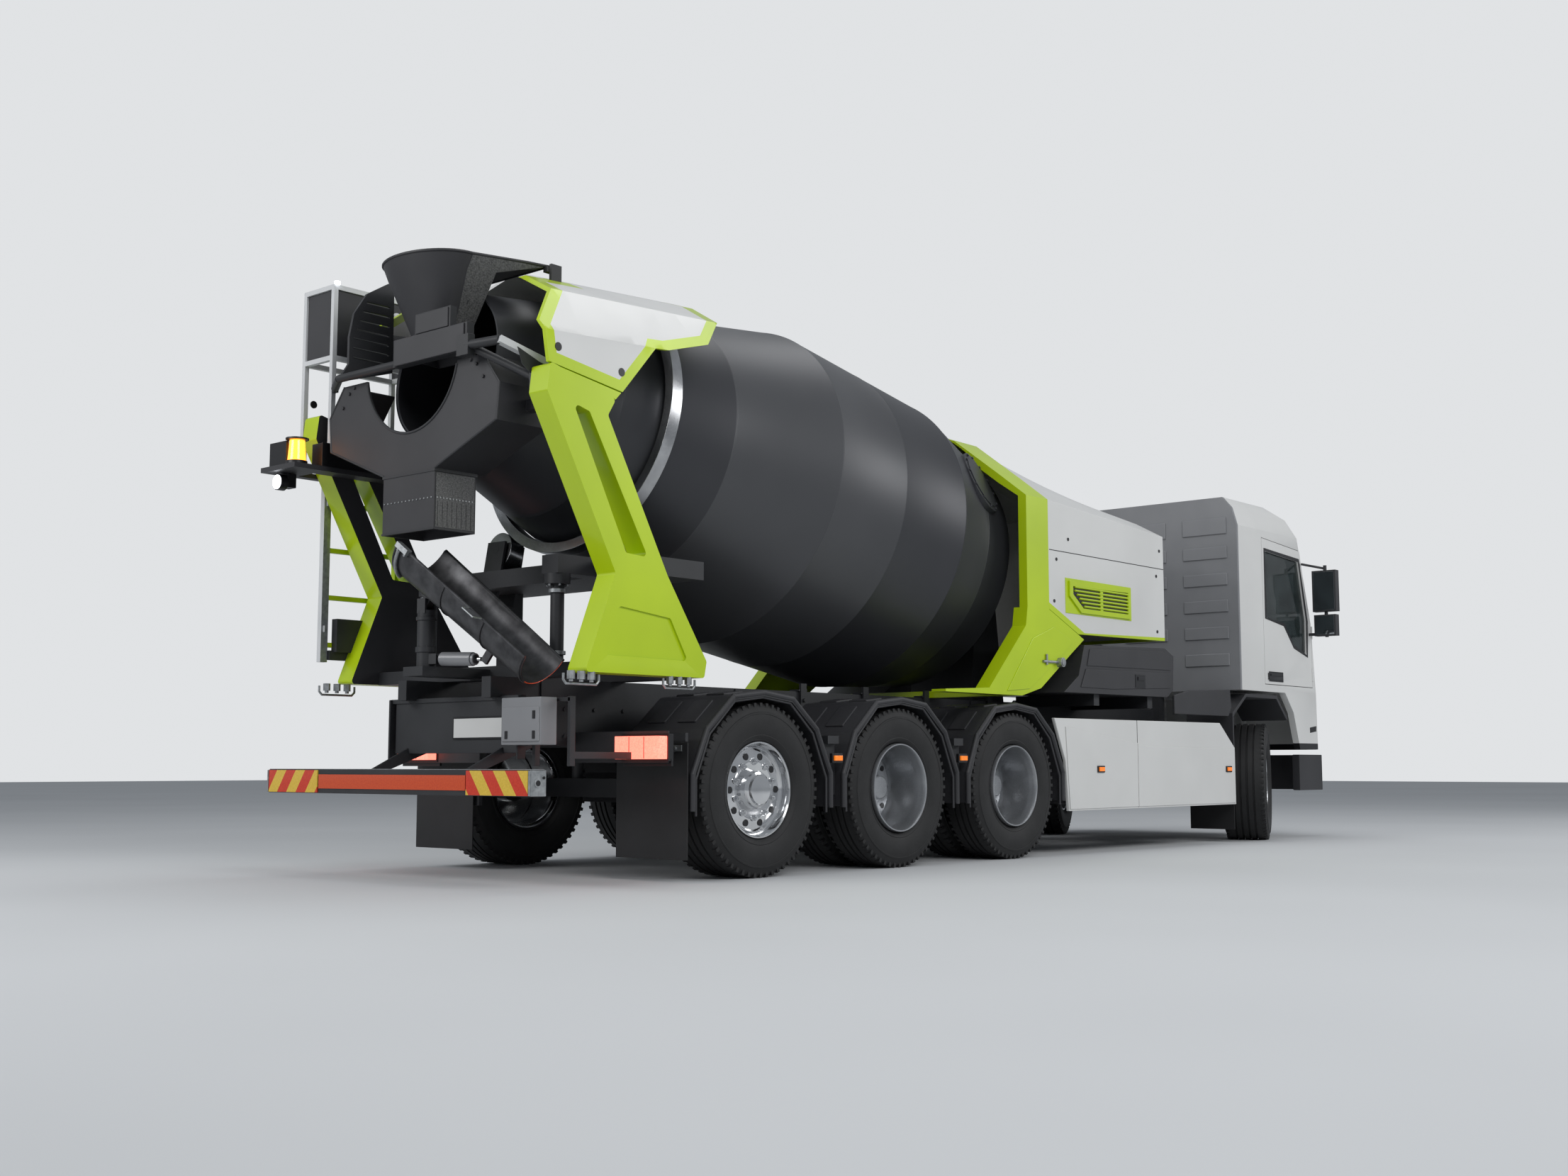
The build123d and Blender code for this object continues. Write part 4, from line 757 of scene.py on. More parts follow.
def ladder_finish(c, n):
    # white basket, dark deck, bright rear stiles with a white back edge, and lime for the rest
    if c.z > deck_z + rim_rise:
        return 2
    if c.z > deck_z - deck_drop:
        return 3
    if abs(c.x - ladder_rear_x) >= stile_half:
        return 1
    return 2 if abs(n.y) < facing and c.x < ladder_rear_x + stile_back else 0


painted_copy("ladder_platform", "chassis", [galvanised, lime, rail_white, dark_plastic],
             [((0, 0, deck_z + 0.031), (0, 0, 1)), ((0, 0, deck_z - 0.001), (0, 0, 1)),
              ((ladder_rear_x + 0.0255, 0, 0), (1, 0, 0))], ladder_finish, 3)

# %% [markdown]
# Small repeated things have their own helpers: a flat plate seen from the truck's side, a row of round
# heads, and a framed opening. Each is written for the right side or for both with a mirror copy.

# %% Side plates, round heads and frames
def side_plate(bm, outline, y, thick):
    # outline is (x, z) pairs on the right side, standing proud of the side at -y
    return add_plate(bm, [(x, -y, z) for x, z in outline], Vector((0, -thick, 0)))


def side_heads(bm, places, y, radius, proud, sides=20):
    for x, z in places:
        add_rod(bm, (x, -y + 0.004, z), (x, -y - proud, z), radius, sides)


def side_frame(bm, outer, inner, y, thick):
    # a flat frame between two outlines with as many corners each
    rings = [[bm.verts.new((x, -y - level, z)) for x, z in line] for line in (outer, inner)
             for level in (0, thick)]
    outer_low, outer_high, inner_low, inner_high = rings
    for a, b in ((outer_low, outer_high), (outer_high, inner_high), (inner_high, inner_low),
                 (inner_low, outer_low)):
        for k in range(len(a)):
            nxt = (k + 1) % len(a)
            bm.faces.new((a[k], a[nxt], b[nxt], b[k]))


def one_piece(build, name, material, edge_mm=0.0, sharp=35, body="chassis", both=False):
    bm = bmesh.new()
    build(bm)
    if both:
        mirror_over(bm)
    return finish_piece(bm, name, body, material, edge_mm, sharp=sharp, merge=False)


def both_pieces(build, name, material, edge_mm=0.0, sharp=35, body="chassis"):
    return one_piece(build, name, material, edge_mm, sharp, body, both=True)


# %% [markdown]
# The front cowl hides the drum's drive. It has one seam across it, a few round bolt heads, and a lime louvre
# with a cut corner and six slots; the dark of the slots is painted shade, a black sheet behind the slats. The
# cowl at the rear has two round black plugs above the pillar.

# %% Cowl details
louvre = behind_tag([(3.560, 2.070), (4.490, 2.084), (4.490, 1.832), (3.730, 1.832), (3.560, 1.950)])
louvre_shade_field = behind_tag([(3.610, 2.030), (4.450, 2.040), (4.450, 1.868), (3.760, 1.868), (3.610, 1.968)])
slat_count, slat_pitch, slat_z, slat_lean = 6, 0.0285, 1.884, radians(-28)
slat_start, slat_start_high, slat_end = 3.775, 3.640, 4.45
# a black sheet behind the slats: painted shade for the dark slots
both_pieces(lambda bm: side_plate(bm, louvre_shade_field, 1.2052, 0.002), "louvre_shade_field", black_plastic)


def louvre_parts(bm):
    # the slats start further back, row by row, along the field's cut corner
    side_frame(bm, louvre, louvre_shade_field, 1.205, 0.014)
    for row in range(slat_count):
        start = slat_start - 0.034 * row if row < 4 else slat_start_high
        middle = Matrix.Translation((tag_x + (start + slat_end) / 2, -1.213, slat_z + slat_pitch * row))
        half, turn = (slat_end - start) / 2, middle @ Matrix.Rotation(slat_lean, 4, "X")
        add_box(bm, (-half, -0.007, -0.0065), (half, 0.007, 0.0065), turn)
    add_box(bm, (tag_x + 4.02, -1.216, 1.868), (tag_x + 4.06, -1.206, 2.036))


both_pieces(louvre_parts, "louvre", lime, 1.5)
cowl_bolts = behind_tag([(3.573, 2.389), (5.009, 2.435), (3.361, 1.90), (4.95, 2.22), (4.95, 1.76),
                         (3.40, 2.22)])
both_pieces(lambda bm: (add_box(bm, (tag_x + 3.30, -1.2010, 2.283), (tag_x + 5.075, -1.1990, 2.289)),
                        side_heads(bm, cowl_bolts, 1.2, 0.013, 0.004)),
            "cowl_seam_and_bolts", black_plastic)
both_pieces(lambda bm: side_heads(bm, behind_tag([(-1.586, 2.930), (-1.110, 2.872)]), 1.15, 0.024, 0.003, 28),
            "rear_cowl_plugs", black_plastic, 1)
both_pieces(lambda bm: side_plate(bm, behind_tag([(-1.635, 2.833), (-1.106, 2.754), (-1.150, 2.708)]), 1.05,
                                  0.098), "pillar_shoulders", lime, 3)


def lime_brackets(bm):
    # the lime leg's raised panel
    side_plate(bm, behind_tag([(2.70, 1.20), (3.00, 1.225), (3.50, 1.52), (3.62, 1.60), (3.34, 1.70),
                               (3.05, 1.60)]), 1.2, 0.006)


both_pieces(lime_brackets, "leg_panel", lime, 3)


def tow_tube(bm):
    add_rod(bm, (tag_x + 3.407, -1.19, 1.436), (tag_x + 3.407, -1.245, 1.436), 0.036, 32)
    add_rod(bm, (tag_x + 3.407, -1.245, 1.436), (tag_x + 3.407, -1.250, 1.436), 0.026, 32)
    add_rod(bm, (tag_x + 3.22, -1.215, 1.41), (tag_x + 3.22, -1.215, 1.49), 0.009, 12)
    add_rod(bm, (tag_x + 3.17, -1.215, 1.435), (tag_x + 3.40, -1.215, 1.436), 0.010, 12)


both_pieces(tow_tube, "leg_tube", galvanised, 1)


def box_panels(bm):
    side_plate(bm, behind_tag([(3.86, 1.56), (4.13, 1.575), (5.02, 1.60), (5.17, 1.555), (5.155, 1.45),
                               (3.82, 1.43)]), 1.2, 0.007)
    side_plate(bm, behind_tag([(3.80, 1.405), (5.15, 1.425), (5.14, 1.30), (4.20, 1.262), (3.72, 1.262)]),
               1.2, 0.007)


both_pieces(box_panels, "equipment_panels", dark_plastic, 4)
both_pieces(lambda bm: (add_box(bm, (tag_x + 4.555, -1.211, 1.285), (tag_x + 4.715, -1.20, 1.392)),
                        add_box(bm, (tag_x + 4.59, -1.217, 1.345), (tag_x + 4.69, -1.21, 1.375))),
            "equipment_latch", black_plastic, 2)

# %% [markdown]
# The cab's rear wall is pressed with rows of flat ribs. Its windows sit in black rubber, the mirrors
# carry real glass on the side that faces back, and the doors have a dark pull handle.

# %% Cab details
def cab_ribs(bm):
    for z, height in ((2.80, 0.15), (2.56, 0.11), (2.32, 0.11), (2.08, 0.11), (1.84, 0.11), (1.60, 0.11)):
        for y in (0.34, 0.94):
            add_box(bm, (cab_back_x - 0.012, -y - 0.215, z - height / 2),
                    (cab_back_x + 0.002, -y + 0.215, z + height / 2))


both_pieces(cab_ribs, "cab_wall_ribs", grey_paint, 9, body="cab")
window = [(0.080, 2.620), (0.800, 2.580), (0.940, 2.030), (0.930, 1.700), (0.640, 1.780), (0.460, 1.970),
          (0.080, 2.000)]
window_mid = (sum(x for x, z in window) / len(window), sum(z for x, z in window) / len(window))


def grown(points, middle, amount):
    made = []
    for x, z in points:
        away = Vector((x - middle[0], z - middle[1]))
        made.append((x + away.normalized().x * amount, z + away.normalized().y * amount))
    return made


for word, side in SIDES.items():
    bench = bmesh.new()
    frame_outer = [(front_x + x, z) for x, z in grown(window, window_mid, 0.030)]
    frame_inner = [(front_x + x, z) for x, z in grown(window, window_mid, -0.004)]
    side_frame(bench, frame_outer, frame_inner, 1.2495, 0.004)
    add_box(bench, (front_x + 0.10, -1.256, 1.425), (front_x + 0.39, -1.25, 1.515))
    add_box(bench, (front_x + 0.11, -1.268, 1.475), (front_x + 0.36, -1.255, 1.492))
    if side > 0:
        bmesh.ops.scale(bench, vec=(1, -1, 1), verts=bench.verts[:])
    finish_piece(bench, f"door_trim_{word}", f"door_{word}", black_plastic, 1.5, merge=False)
    bench = bmesh.new()
    post_y = 1.425
    for z0, z1, half in ((2.125, 2.485, 0.100), (1.893, 2.067, 0.090)):
        add_box(bench, (front_x + 0.957, side * post_y - half, z0),
                (front_x + 0.961, side * post_y + half, z1))
    finish_piece(bench, f"mirror_glass_{word}", f"door_{word}", mirror_glass, 1, merge=False)


wheel_hub = Matrix.Translation((front_x + 0.80, 0.56, 2.02)) @ Matrix.Rotation(radians(-62), 4, "Y")


def steering_wheel(bm):
    ring = [on_circle(wheel_hub, 0.225, radians(a), 0) for a in range(0, 361, 12)]
    add_pipe(bm, ring, 0.013, 10)
    for a in (0, 120, 240):
        add_rod(bm, wheel_hub @ Vector((0, 0, -0.01)), on_circle(wheel_hub, 0.22, radians(a), 0), 0.010, 10)
    add_rod(bm, wheel_hub @ Vector((0, 0, 0.012)), wheel_hub @ Vector((0, 0, -0.16)), 0.045, 28)


one_piece(steering_wheel, "steering_wheel", black_plastic, body="cab")


def cab_side_trim(bm):
    # the dark slot low in the front corner, just ahead of the cab door
    side_plate(bm, [(front_x + 0.95, 1.02), (front_x + 1.09, 1.035), (front_x + 1.085, 0.985),
                    (front_x + 0.95, 0.970)], 1.2500, 0.003)


both_pieces(cab_side_trim, "cab_side_trim", black_plastic, 1, body="cab")


def arch_cover(bm):
    side_plate(bm, [(2.02, 1.09), (2.02, 1.245), (2.30, 1.295), (3.04, 1.325), (3.06, 1.17), (3.00, 1.09)],
               1.205, 0.022)


both_pieces(arch_cover, "arch_cover", dark_plastic, 6)

# %% [markdown]
# The white skirts between the axles have a low panel with a crease and one upright seam. Amber side
# markers sit on them and on the mudguards, whose outer edges are rolled.

# %% Skirts and mudguards
skirt_x0, skirt_x1 = axle_xs["drive_mid"] + 0.645, front_x - 0.63


def skirt_panels(bm):
    side_plate(bm, [(skirt_x0 + 0.07, 0.337), (1.335, 0.340), (1.335, 0.842), (skirt_x0 + 0.02, 0.955),
                    (skirt_x0 + 0.04, 0.70)], 1.25, 0.007)
    side_plate(bm, [(1.343, 0.340), (skirt_x1 - 0.014, 0.342), (skirt_x1 - 0.014, 0.810), (1.50, 0.818),
                    (1.343, 0.840)], 1.25, 0.007)


both_pieces(skirt_panels, "skirt_panels", white, 5)
both_pieces(lambda bm: add_box(bm, (1.3365, -1.2514, 0.335), (1.3415, -1.2494, 1.022)), "skirt_seam",
            black_plastic)
both_pieces(lambda bm: [add_box(bm, (x - 0.052, -1.266, z - 0.026), (x + 0.052, -1.25, z + 0.026))
                        for x, z in ((0.752, 0.636), (2.908, 0.633))] +
            [add_box(bm, (x - 0.052, -1.262, z - 0.030), (x + 0.052, -1.238, z + 0.030))
             for x, z in ((-2.470, 0.71), (-1.098, 0.714))],
            "marker_bases", black_plastic, 3)
both_pieces(lambda bm: [add_box(bm, (x - 0.038, -1.274, z - 0.016), (x + 0.038, -1.26, z + 0.016))
                        for x, z in ((0.752, 0.636), (2.908, 0.633), (-2.470, 0.71), (-1.098, 0.714))],
            "side_markers", amber_lens, 3)

guard_shape = [(-0.620, 0.41), (-0.620, 0.62), (-0.500, 0.88), (-0.270, 1.075), (0.0, 1.105), (0.270, 1.075),
               (0.500, 0.895), (0.640, 0.62), (0.640, 0.41)]


def guard_edges(bm):
    for axle_x in axle_xs.values():
        add_pipe(bm, [(axle_x + x * 0.985, -1.243, z - 0.006) for x, z in guard_shape], 0.017)
        inner = [(axle_x + x * 0.93, -1.236, z - 0.034) for x, z in guard_shape]
        add_pipe(bm, inner, 0.008)


both_pieces(guard_edges, "guard_edges", dark_plastic)


def guard_ribs(bm):
    # raised pads pressed into the top of each arch
    for axle_x in axle_xs.values():
        for (x0, z0), (x1, z1) in zip(guard_shape[2:6], guard_shape[3:7]):
            lean = Vector((x1 - x0, 0, z1 - z0))
            middle = Matrix.Translation((axle_x + (x0 + x1) / 2, 0, (z0 + z1) / 2))
            turn = middle @ lean.to_track_quat("X", "Z").to_matrix().to_4x4()
            reach = lean.length / 2 - 0.05
            for y in (0.80, 1.05):
                add_box(bm, (-reach, -y - 0.075, -0.01), (reach, -y + 0.075, 0.012), turn)


both_pieces(guard_ribs, "guard_ribs", dark_plastic, 8)

# %% [markdown]
# The rear end: glowing lamps, a dark cross panel with its small box and a bare plate, the silver ends
# of the underrun bar, the flap brackets, and the steel loops under the pillars' feet.

# %% Rear end details
bar_x = tag_x - 1.786


def bar_ends(bm):
    add_box(bm, (bar_x - 0.002, -1.214, 0.504), (bar_x + 0.102, -1.205, 0.639))
    add_box(bm, (bar_x - 0.010, -1.212, 0.506), (bar_x - 0.001, -1.200, 0.637))
    add_rod(bm, (bar_x + 0.045, -1.217, 0.572), (bar_x + 0.045, -1.208, 0.572), 0.024, 24)


both_pieces(bar_ends, "bar_ends", galvanised, 1.5)


# the two holes in each bar end are black discs: painted shade for the openings
def bar_end_hole_shade(bm):
    add_rod(bm, (bar_x + 0.045, -1.2185, 0.572), (bar_x + 0.045, -1.2160, 0.572), 0.015, 24)
    add_rod(bm, (bar_x + 0.085, -1.2185, 0.600), (bar_x + 0.085, -1.2130, 0.600), 0.008, 12)


both_pieces(bar_end_hole_shade, "bar_end_hole_shade", black_plastic)
one_piece(lambda bm: add_box(bm, (bar_x + 0.002, -1.205, 0.6412), (bar_x + 0.098, 1.205, 0.6445)),
          "bar_top_strip", galvanised, 1)


def rear_panel(bm):
    add_box(bm, (tag_x - 1.335, -0.56, 0.735), (tag_x - 1.315, 0.56, 1.050))
    add_box(bm, (tag_x - 1.345, -0.60, 1.035), (tag_x - 1.305, 0.60, 1.062))
    for y in (-0.60, 0.585):
        add_box(bm, (tag_x - 1.360, y, 0.70), (tag_x - 1.300, y + 0.015, 1.06))
    for z in (0.79, 0.98):
        add_rod(bm, (tag_x - 1.352, -0.62, z), (tag_x - 1.300, -0.62, z), 0.018, 16)
    for x, y in ((-1.33, -0.99), (-1.33, -0.70)):
        add_box(bm, (tag_x + x, y - 0.012, 0.66), (tag_x + x + 0.04, y + 0.012, 1.045))
    add_box(bm, (tag_x - 1.33, -1.0, 1.015), (tag_x - 1.29, -0.44, 1.04))
    add_box(bm, (tag_x - 1.32, -1.0, 0.70), (tag_x - 0.79, -0.985, 0.74))


one_piece(rear_panel, "rear_panel", frame_paint, 3)
one_piece(lambda bm: (add_box(bm, (tag_x - 1.46, -0.905, 0.777), (tag_x - 1.34, -0.575, 1.040)),
                      add_box(bm, (tag_x - 1.468, -0.895, 0.795), (tag_x - 1.458, -0.585, 0.985))),
          "rear_control_box", grey_paint, 9)
one_piece(lambda bm: [add_box(bm, (tag_x - 1.472, y, z), (tag_x - 1.462, y + 0.022, z + 0.045))
                      for y, z in ((-0.87, 0.81), (-0.87, 0.92), (-0.64, 0.81))], "rear_box_latches",
          black_plastic, 2)
one_piece(lambda bm: add_box(bm, (tag_x - 1.346, -0.545, 0.815), (tag_x - 1.336, 0.0, 0.945)), "plate_holder",
          black_plastic, 3)
one_piece(lambda bm: add_box(bm, (tag_x - 1.3495, -0.53, 0.825), (tag_x - 1.3465, -0.015, 0.935)),
          "bare_plate", white, 1)


def lamp_housings(bm):
    add_box(bm, (tag_x - 0.795, -1.232, 0.688), (tag_x - 0.755, -0.848, 0.842))
    for y in (-1.10, -0.98):
        add_box(bm, (tag_x - 0.8635, y - 0.0015, 0.703), (tag_x - 0.858, y + 0.0015, 0.827))
    add_box(bm, (tag_x - 0.775, -1.235, 0.66), (tag_x - 0.760, -0.845, 0.70))


both_pieces(lamp_housings, "lamp_housings", black_plastic, 3)


def flap_brackets(bm):
    for x, y0, y1, z in ((tag_x - 0.652, 0.70, 1.20, 0.790), (front_x - 0.610, 0.82, 1.20, 0.462)):
        add_box(bm, (x - 0.006, -y1, z - 0.045), (x - 0.0005, -y0, z - 0.010))
        for k in range(4):
            y = -y0 - 0.05 - k * (y1 - y0 - 0.10) / 3
            add_rod(bm, (x - 0.014, y, z - 0.028), (x - 0.004, y, z - 0.028), 0.010, 6)


both_pieces(flap_brackets, "flap_brackets", galvanised, 1)


def foot_loops(bm):
    for x0, x1 in ((-1.50, -1.24), (-0.74, -0.48)):
        z0, z1, y = 1.104, 1.160, -1.13
        ring = [(tag_x + x0, y, z1), (tag_x + x0, y, z0 + 0.02), (tag_x + x0 + 0.02, y, z0),
                (tag_x + x1 - 0.02, y, z0), (tag_x + x1, y, z0 + 0.02), (tag_x + x1, y, z1)]
        add_pipe(bm, ring, 0.007, 10)
        for k in range(3):
            x = tag_x + x0 + 0.055 + 0.075 * k
            add_rod(bm, (x, y, 1.175), (x, y, 1.130), 0.022, 6)
            add_rod(bm, (x, y, 1.130), (x, y, 1.116), 0.012, 12)


both_pieces(foot_loops, "pillar_foot_loops", galvanised)


def frame_brackets(bm):
    for x in (1.315, 2.010, 2.753, 3.60):
        add_box(bm, (tag_x + x - 0.030, -0.452, 1.05), (tag_x + x + 0.030, -0.432, 1.225))
        add_box(bm, (tag_x + x - 0.045, -0.445, 1.172), (tag_x + x + 0.045, -0.360, 1.184))
        add_rod(bm, (tag_x + x, -0.465, 1.11), (tag_x + x, -0.445, 1.11), 0.014, 6)
    for k in range(26):
        x = tag_x - 1.10 + 0.24 * k
        for z in (0.835, 0.995):
            add_rod(bm, (x, -0.438, z), (x, -0.430, z), 0.013, 6)
    for x in (-1.00, 0.68, 2.05, 3.40, 4.3):
        add_box(bm, (tag_x + x - 0.05, -0.440, 1.055), (tag_x + x + 0.05, -0.431, 1.165))


both_pieces(frame_brackets, "frame_brackets", frame_paint, 1.5)

# %% [markdown]
# The discharge collector is folded from sheet: rolled edges round its mouth, a bolt row on its lower
# spout and pressed beads on the spout's sides. The bar behind the hopper ends in a bare bright tube.

# %% Collector and bar
funnel_x = tag_x - 1.70


def funnel_edges(bm):
    arc = [(funnel_x, 0.434 * sin(radians(a)), 3.02 - 0.434 * cos(radians(a))) for a in range(-78, 79, 6)]
    add_pipe(bm, arc, 0.008, 10)
    side = [(0.655, 2.948), (0.797, 2.770), (0.777, 2.563), (0.238, 2.352)]
    for s in (1, -1):
        add_pipe(bm, [(funnel_x + 0.002, s * y, z) for y, z in side], 0.007, 8)
    for s in (1, -1):
        for y, z in ((0.60, 2.90), (0.66, 2.82), (0.55, 2.93)):
            add_rod(bm, (funnel_x - 0.010, s * y, z), (funnel_x + 0.002, s * y, z), 0.011, 6)
    add_box(bm, (funnel_x - 0.004, -0.246, 2.335), (funnel_x + 0.306, 0.246, 2.352))
    add_box(bm, (funnel_x - 0.004, -0.244, 2.000), (funnel_x + 0.006, 0.244, 2.012))


one_piece(funnel_edges, "collector_edges", frame_paint)


def spout_bolts(bm):
    for k in range(12):
        x = funnel_x + 0.02 + 0.023 * k
        for s in (1, -1):
            add_rod(bm, (x, s * 0.238, 2.185), (x, s * 0.2445, 2.185), 0.0045, 8)
    for k in range(14):
        y = -0.22 + 0.034 * k
        add_rod(bm, (funnel_x - 0.0045, y, 2.185), (funnel_x + 0.002, y, 2.185), 0.0045, 8)


one_piece(spout_bolts, "spout_bolts", galvanised)


def spout_sheets(bm):
    for s in (1, -1):
        add_box(bm, (funnel_x + 0.012, s * 0.2402, 2.015), (funnel_x + 0.288, s * 0.2425, 2.330))
        for k in range(8):
            x = funnel_x + 0.030 + 0.034 * k
            add_box(bm, (x - 0.004, s * 0.242, 2.022), (x + 0.004, s * 0.2450, 2.165))


one_piece(spout_sheets, "spout_side_sheets", hammer_grain_painted_sheen)


def bright_tube(bm):
    start, end = Vector((tag_x - 1.80, -0.905, 2.972)), Vector((tag_x - 1.50, -0.985, 2.868))
    turn = along(start, end)
    add_box(bm, (-0.026, -0.020, -(end - start).length / 2), (0.026, 0.020, (end - start).length / 2), turn)


one_piece(bright_tube, "bar_bright_tube", rail_white, 2)


def tube_bracket(bm):
    side_plate(bm, behind_tag([(-1.735, 2.93), (-1.50, 2.845), (-1.50, 2.70), (-1.56, 2.74), (-1.70, 2.84)]),
               0.983, 0.006)
    add_rod(bm, (tag_x - 1.790, -0.620, 2.985), (tag_x - 1.786, -0.905, 2.972), 0.026, 20)
    add_box(bm, (tag_x - 1.815, -0.66, 2.925), (tag_x - 1.765, -0.56, 3.045))


one_piece(tube_bracket, "tube_bracket", frame_paint, 2)


def bar_plate(bm):
    # the bare plate behind the hopper, with the humped cover above it
    add_box(bm, (tag_x - 1.802, -0.600, 2.962), (tag_x - 1.789, 0.030, 3.118))
    add_box(bm, (tag_x - 1.800, -0.455, 3.12), (tag_x - 1.788, -0.165, 3.235))


one_piece(bar_plate, "bar_plate", dark_plastic, 5)

# %% [markdown]
# Ladder and basket. The deck carries a turning amber beacon and a work lamp, and a small white lamp
# sits on the basket's corner. A lower box and two hooks hang at the ladder's foot.

# %% Ladder, beacon and lamps
beacon_x, beacon_y = tag_x - 1.820, 0.960


def beacon_base(bm):
    add_rod(bm, (beacon_x, beacon_y, deck_z + 0.028), (beacon_x, beacon_y, deck_z + 0.055), 0.064, 36)
    add_rod(bm, (beacon_x, beacon_y, deck_z + 0.185), (beacon_x, beacon_y, deck_z + 0.196), 0.070, 36)
    add_box(bm, (tag_x - 1.845, 1.04, deck_z + 0.03), (tag_x - 1.825, 1.22, deck_z + 0.19))
    add_rod(bm, (tag_x - 1.85, 1.12, deck_z - 0.06), (tag_x - 1.80, 1.12, deck_z - 0.06), 0.050, 28)
    add_box(bm, (tag_x - 1.80, 1.08, deck_z - 0.09), (tag_x - 1.74, 1.16, deck_z - 0.002))
    add_box(bm, (tag_x - 1.70, 0.872, deck_z + 0.028), (tag_x - 1.10, 0.878, deck_z + 0.180))
    add_box(bm, (tag_x - 1.690, 0.878, deck_z + 0.028), (tag_x - 1.684, 0.995, deck_z + 0.180))


one_piece(beacon_base, "beacon_base", black_plastic, 2)
one_piece(lambda bm: add_rod(bm, (beacon_x, beacon_y, deck_z + 0.055), (beacon_x, beacon_y, deck_z + 0.185),
                             0.056, 36, 0.046), "beacon_lens", beacon_amber, 4, 40)


def work_lamps(bm):
    add_rod(bm, (tag_x - 1.853, 1.12, deck_z - 0.06), (tag_x - 1.85, 1.12, deck_z - 0.06), 0.044, 28)
    add_rod(bm, (tag_x - 1.62, 0.880, basket_top + 0.016), (tag_x - 1.62, 0.880, basket_top + 0.034),
            0.018, 20)


one_piece(work_lamps, "work_lamps", white_lamp)


def ladder_foot(bm):
    add_box(bm, (ladder_rear_x + 0.03, 1.150, 1.325), (ladder_front_x - 0.03, 1.185, 1.385))
    add_box(bm, (ladder_rear_x + 0.06, 1.120, 1.375), (ladder_rear_x + 0.30, 1.175, 1.585))
    add_box(bm, (ladder_front_x - 0.10, 1.175, 1.44), (ladder_front_x - 0.03, 1.19, 1.68))
    for x in (ladder_rear_x + 0.22, ladder_rear_x + 0.27):
        hook = [(x, 1.17, 1.33), (x, 1.17, 1.26), (x + 0.012, 1.17, 1.235), (x + 0.032, 1.17, 1.235),
                (x + 0.036, 1.17, 1.27)]
        add_pipe(bm, hook, 0.005, 8)
    for z in (1.52, 2.32):
        add_rod(bm, (ladder_rear_x, 1.158, z), (ladder_rear_x, 1.215, z), 0.010, 6)


one_piece(ladder_foot, "ladder_foot", frame_paint, 2)

# %% [markdown]
# The hopper is a folded sheet with a round back and two textured side sheets: the hammer grain is their own,
# and their lighter grey is a painted sheen where a lamp falls on them. Its rim is rolled and its seams are
# welded. The chute is a half pipe with rolled edges, a bright top clamp with two bolts, a steel ring at its
# lip and a red rubber edge, and a wire handle.

# %% Hopper and chute details
hopper_levels = {
    3.620: [(-1.810, 0.150), (-1.750, 0.260), (-1.550, 0.360), (-1.220, 0.460), (-1.080, 0.488)],
    3.530: [(-1.775, 0.140), (-1.720, 0.240), (-1.560, 0.320), (-1.440, 0.380), (-1.400, 0.390)],
    3.220: [(-1.640, 0.090), (-1.620, 0.150), (-1.540, 0.190), (-1.460, 0.210), (-1.420, 0.210)],
    3.050: [(-1.560, 0.080), (-1.545, 0.130), (-1.480, 0.160), (-1.400, 0.170), (-1.360, 0.170)],
}
hopper_wall = 0.014
back_steps = 30


def hopper_outline(z, shrink=0.0):
    # half an ellipse round the back, then straight side sheets to the front edge
    half = hopper_levels[z]
    (tip_x, _), (side_x, side_y) = half[0], half[2]
    turns = [pi * (step / back_steps - 0.5) for step in range(back_steps + 1)]
    back = [(side_x - (side_x - tip_x) * cos(turn), side_y * sin(turn)) for turn in turns]
    line = [(x, -y) for x, y in half[:2:-1]] + back + half[3:]
    middle = sum(x for x, y in line) / len(line)
    moved = []
    for x, y in line:
        share = 1 - shrink / ((x - middle) ** 2 + y ** 2) ** 0.5
        moved.append((tag_x + middle + (x - middle) * share, y * share, z))
    return moved


def hopper_shell(bm):
    heights = sorted(hopper_levels)
    order = [(z, 0.0) for z in heights] + [(z, hopper_wall) for z in reversed(heights)]
    rings = [[bm.verts.new(point) for point in hopper_outline(z, shrink)] for z, shrink in order]
    for low, high in zip(rings, rings[1:] + rings[:1]):
        for k in range(len(low)):
            nxt = (k + 1) % len(low)
            bm.faces.new((low[k], low[nxt], high[nxt], high[k]))
    for s in (1, -1):
        add_box(bm, (tag_x - 1.110, s * 0.470, 3.580), (tag_x - 1.062, s * 0.506, 3.6195))


bench = bmesh.new()
hopper_shell(bench)
hopper_mesh = finish_piece(bench, "smooth_hopper", "hopper", [dark_plastic, hammer_grain_painted_sheen],
                           replaces=("charging_hopper",), merge=False)
# the outward faces of the side sheets take the lighter hammer-grain grey, a painted sheen
for polygon in hopper_mesh.data.polygons:
    c = polygon.center
    crease_x = tag_x - 1.540 - 0.02 * (c.z - 3.22)
    if c.x > crease_x and abs(polygon.normal.y) > 0.3 and c.y * polygon.normal.y > 0:
        polygon.material_index = 1


def hopper_rim(bm):
    loop = [(x, y, z - 0.001) for x, y, z in hopper_outline(3.620, 0.004)]
    add_pipe(bm, loop + loop[:1], 0.009, 10)
    for s in (1, -1):
        add_pipe(bm, [(tag_x + hopper_levels[z][2][0], s * (hopper_levels[z][2][1] - 0.002), z)
                      for z in (3.620, 3.530, 3.220)], 0.0045, 8)


one_piece(hopper_rim, "hopper_rim", dark_plastic, body="hopper")

chute_x, chute_z = tag_x - 1.55, 1.60
chute_place = (Matrix.Translation((chute_x, 0, chute_z)) @ Matrix.Rotation(radians(-79), 4, "Z")
               @ Matrix.Rotation(radians(37), 4, "Y"))


